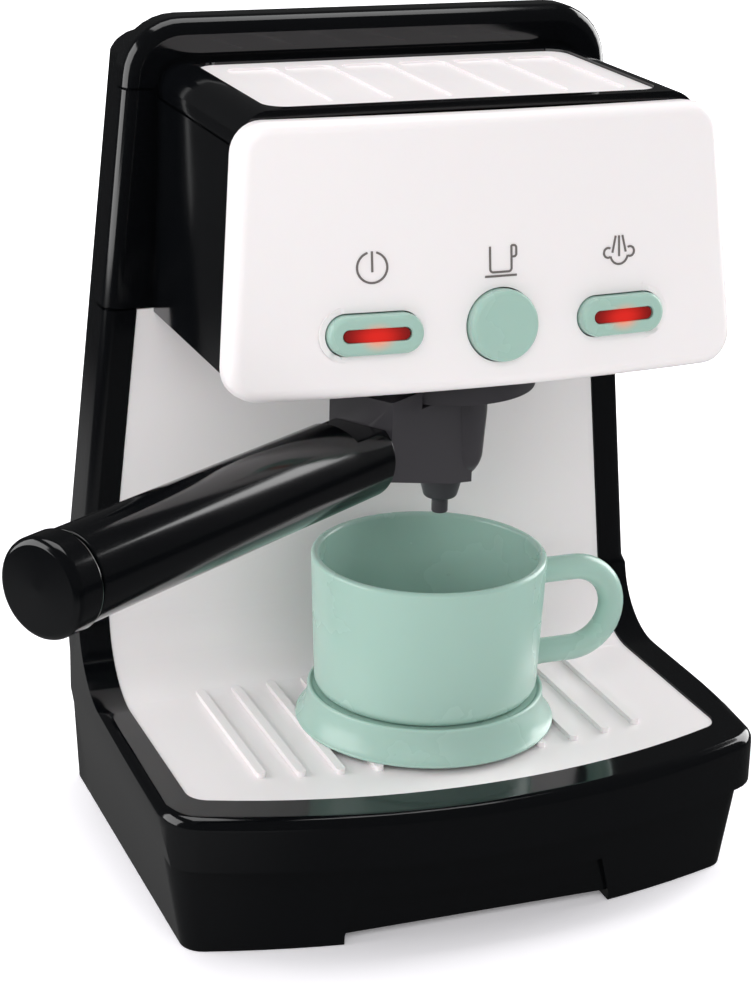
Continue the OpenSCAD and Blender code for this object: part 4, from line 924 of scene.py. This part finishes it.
class TOY_OT_stage(bpy.types.Operator):
    """Sets the white floor, the soft lights, the room and the camera"""
    bl_idname = "toy.stage"
    bl_label = "Stage"

    def execute(self, context):
        self.floor()
        self.room(context.scene)
        s = context.scene.toy_studio
        soft_box("left_box", (-1.15, 0.25, 0.5), (0, 0, 0.12), (1.0, 1.0), s.side_light)
        soft_box("right_box", (1.2, 0.35, 0.55), (0, 0, 0.14), (0.9, 1.0), s.right_light)
        soft_box("top_box", (0.0, 0.25, 1.5), (0, 0, 0.1), (1.2, 0.9), s.top_light)
        soft_box("front_fill", (-0.5, -1.9, 1.3), (0, 0, 0.12), (2.4, 1.6), s.fill_light, seen=False)
        self.camera(context.scene)
        context.scene.view_settings.view_transform = "Standard"
        return {"FINISHED"}

    def floor(self):
        """A broad white sheet, bright for the camera, with a painted pool of light in reflections that
        dims far from the object.
        """
        bpy.ops.object.select_all(action="DESELECT")
        bpy.ops.mesh.primitive_plane_add(size=12, location=(0, 0, -0.2 * MM))
        ob = bpy.context.object
        ob.name = "floor"
        bpy.ops.object.transform_apply(location=True, rotation=True, scale=True)
        # White paper sweep: matt, its far part lifted to full white for the camera.
        m, t, out = blank("white_paper_sweep")
        path = add(t, "ShaderNodeLightPath")
        co = add(t, "ShaderNodeTexCoord").outputs["Object"]
        across = add(t, "ShaderNodeSeparateXYZ", {"Vector": co}).outputs["X"]
        # Painted reflection: what glossy rays see of the floor is brighter to the left of the object.
        near = add(t, "ShaderNodeMapRange", {"Value": across}, **{
            "interpolation_type": "SMOOTHSTEP",
            "From_Min": -0.06, "From_Max": -0.16, "To_Min": 0.07, "To_Max": 0.2}).outputs["Result"]
        fibre = add(t, "ShaderNodeTexNoise", {"Vector": co}, Scale=1 / (1.5 * MM), Detail=3.0)
        bump = add(t, "ShaderNodeBump", {"Height": fibre.outputs["Fac"]},
                   Strength=0.05, Distance=0.0001)
        matt = add(t, "ShaderNodeBsdfDiffuse", {"Normal": bump.outputs["Normal"]},
                   Color=linear("#F2F2F2"))
        extra = add(t, "ShaderNodeBsdfDiffuse", {}, Color=linear("#8C8791"))
        reach = add(t, "ShaderNodeVectorMath", {0: co}, operation="LENGTH")
        fade = add(t, "ShaderNodeMapRange", {"Value": reach.outputs["Value"]}, **{
            "interpolation_type": "SMOOTHSTEP",
            "From_Min": 0.45, "From_Max": 0.8, "To_Min": 1.0, "To_Max": 0.15}).outputs["Result"]
        # Painted pool of light: the floor's emitted gleam in reflections fades between 0.45 and 0.8 m
        # from the object.
        gleam = add(t, "ShaderNodeMath", {0: near, 1: fade}, operation="MULTIPLY")
        far = add(t, "ShaderNodeMapRange", {"Value": reach.outputs["Value"]}, **{
            "interpolation_type": "SMOOTHSTEP",
            "From_Min": 0.3, "From_Max": 1.3, "To_Min": 0.1, "To_Max": 1.0}).outputs["Result"]
        lift = add(t, "ShaderNodeEmission", {"Strength": far}, Color=(1, 1, 1, 1))
        seen = add(t, "ShaderNodeEmission", {"Strength": gleam.outputs[0]}, Color=(1, 1, 1, 1))
        paper = add(t, "ShaderNodeAddShader", {0: matt.outputs[0], 1: extra.outputs[0]})
        both = add(t, "ShaderNodeAddShader", {0: paper.outputs[0], 1: lift.outputs[0]})
        plain = add(t, "ShaderNodeMixShader", {"Fac": path.outputs["Is Camera Ray"],
                                               1: matt.outputs[0], 2: both.outputs[0]})
        # Glossy rays see only the painted gleam, not the lit paper.
        last = add(t, "ShaderNodeMixShader", {"Fac": path.outputs["Is Glossy Ray"],
                                              1: plain.outputs[0], 2: seen.outputs[0]})
        t.links.new(last.outputs[0], out.inputs["Surface"])
        ob.data.materials.append(m)

    def room(self, scene):
        """White for the camera, a soft even light on the object, and dim in reflections."""
        w = bpy.data.worlds.new("pale_room")
        scene.world = w
        w.use_nodes = True
        t = w.node_tree
        t.nodes.clear()
        out = add(t, "ShaderNodeOutputWorld")
        path = add(t, "ShaderNodeLightPath")
        soft = add(t, "ShaderNodeBackground", {}, Color=(1, 1, 1, 1), Strength=0.45)
        white = add(t, "ShaderNodeBackground", {}, Color=(1, 1, 1, 1), Strength=1.0)
        dim = add(t, "ShaderNodeBackground", {}, Color=(1, 1, 1, 1), Strength=0.05)
        a = add(t, "ShaderNodeMixShader", {"Fac": path.outputs["Is Camera Ray"],
                                           1: soft.outputs[0], 2: white.outputs[0]})
        b = add(t, "ShaderNodeMixShader", {"Fac": path.outputs["Is Glossy Ray"],
                                           1: a.outputs[0], 2: dim.outputs[0]})
        t.links.new(b.outputs[0], out.inputs["Surface"])

    def camera(self, scene):
        """The camera, at its place and turn, on a long lens."""
        azimuth, elevation, roll = (math.radians(v) for v in (-21.34, 19.86, 1.48))
        back = Vector((math.sin(azimuth) * math.cos(elevation),
                       -math.cos(azimuth) * math.cos(elevation), math.sin(elevation)))
        side = (-back).cross(Vector((0, 0, 1))).normalized()
        up = side.cross(-back)
        right = side * math.cos(roll) + up * math.sin(roll)
        top = up * math.cos(roll) - side * math.sin(roll)
        data = bpy.data.cameras.new("view")
        data.sensor_width = 36
        data.lens = 36 * 2.50273
        data.clip_start = 0.05
        cam = bpy.data.objects.new("view", data)
        scene.collection.objects.link(cam)
        turn = Matrix((right, top, back)).transposed().to_4x4()
        cam.matrix_world = Matrix.Translation((-299.64 * MM, -738.27 * MM, 409.28 * MM)) @ turn
        scene.camera = cam


class TOY_PT_panel(bpy.types.Panel):
    """Builds the toy coffee maker piece by piece"""
    bl_label = "Toy Coffee Maker"
    bl_space_type = "VIEW_3D"
    bl_region_type = "UI"
    bl_category = "Toy"

    def draw(self, context):
        scene = context.scene
        for settings in (scene.toy_shells, scene.toy_trim, scene.toy_studio):
            box = self.layout.box()
            for name in settings.__annotations__:
                box.prop(settings, name)
        for operator in OPERATORS:
            self.layout.operator(operator.bl_idname)


OPERATORS = (TOY_OT_stage, TOY_OT_shells, TOY_OT_white, TOY_OT_controls, TOY_OT_group,
             TOY_OT_tableware, TOY_OT_inner)
SETTINGS = (("toy_shells", ToyShellSettings), ("toy_trim", ToyTrimSettings),
            ("toy_studio", ToyStudioSettings))


def register():
    for name, group in SETTINGS:
        bpy.utils.register_class(group)
        setattr(bpy.types.Scene, name, bpy.props.PointerProperty(type=group))
    for c in (*OPERATORS, TOY_PT_panel):
        bpy.utils.register_class(c)


def unregister():
    for c in (TOY_PT_panel, *reversed(OPERATORS)):
        bpy.utils.unregister_class(c)
    for name, group in reversed(SETTINGS):
        delattr(bpy.types.Scene, name)
        bpy.utils.unregister_class(group)


def main():
    register()
    bpy.ops.toy.stage()
    bpy.ops.toy.shells()
    bpy.ops.toy.white()
    bpy.ops.toy.controls()
    bpy.ops.toy.group()
    bpy.ops.toy.tableware()
    bpy.ops.toy.inner()


if __name__ == "__main__":
    main()
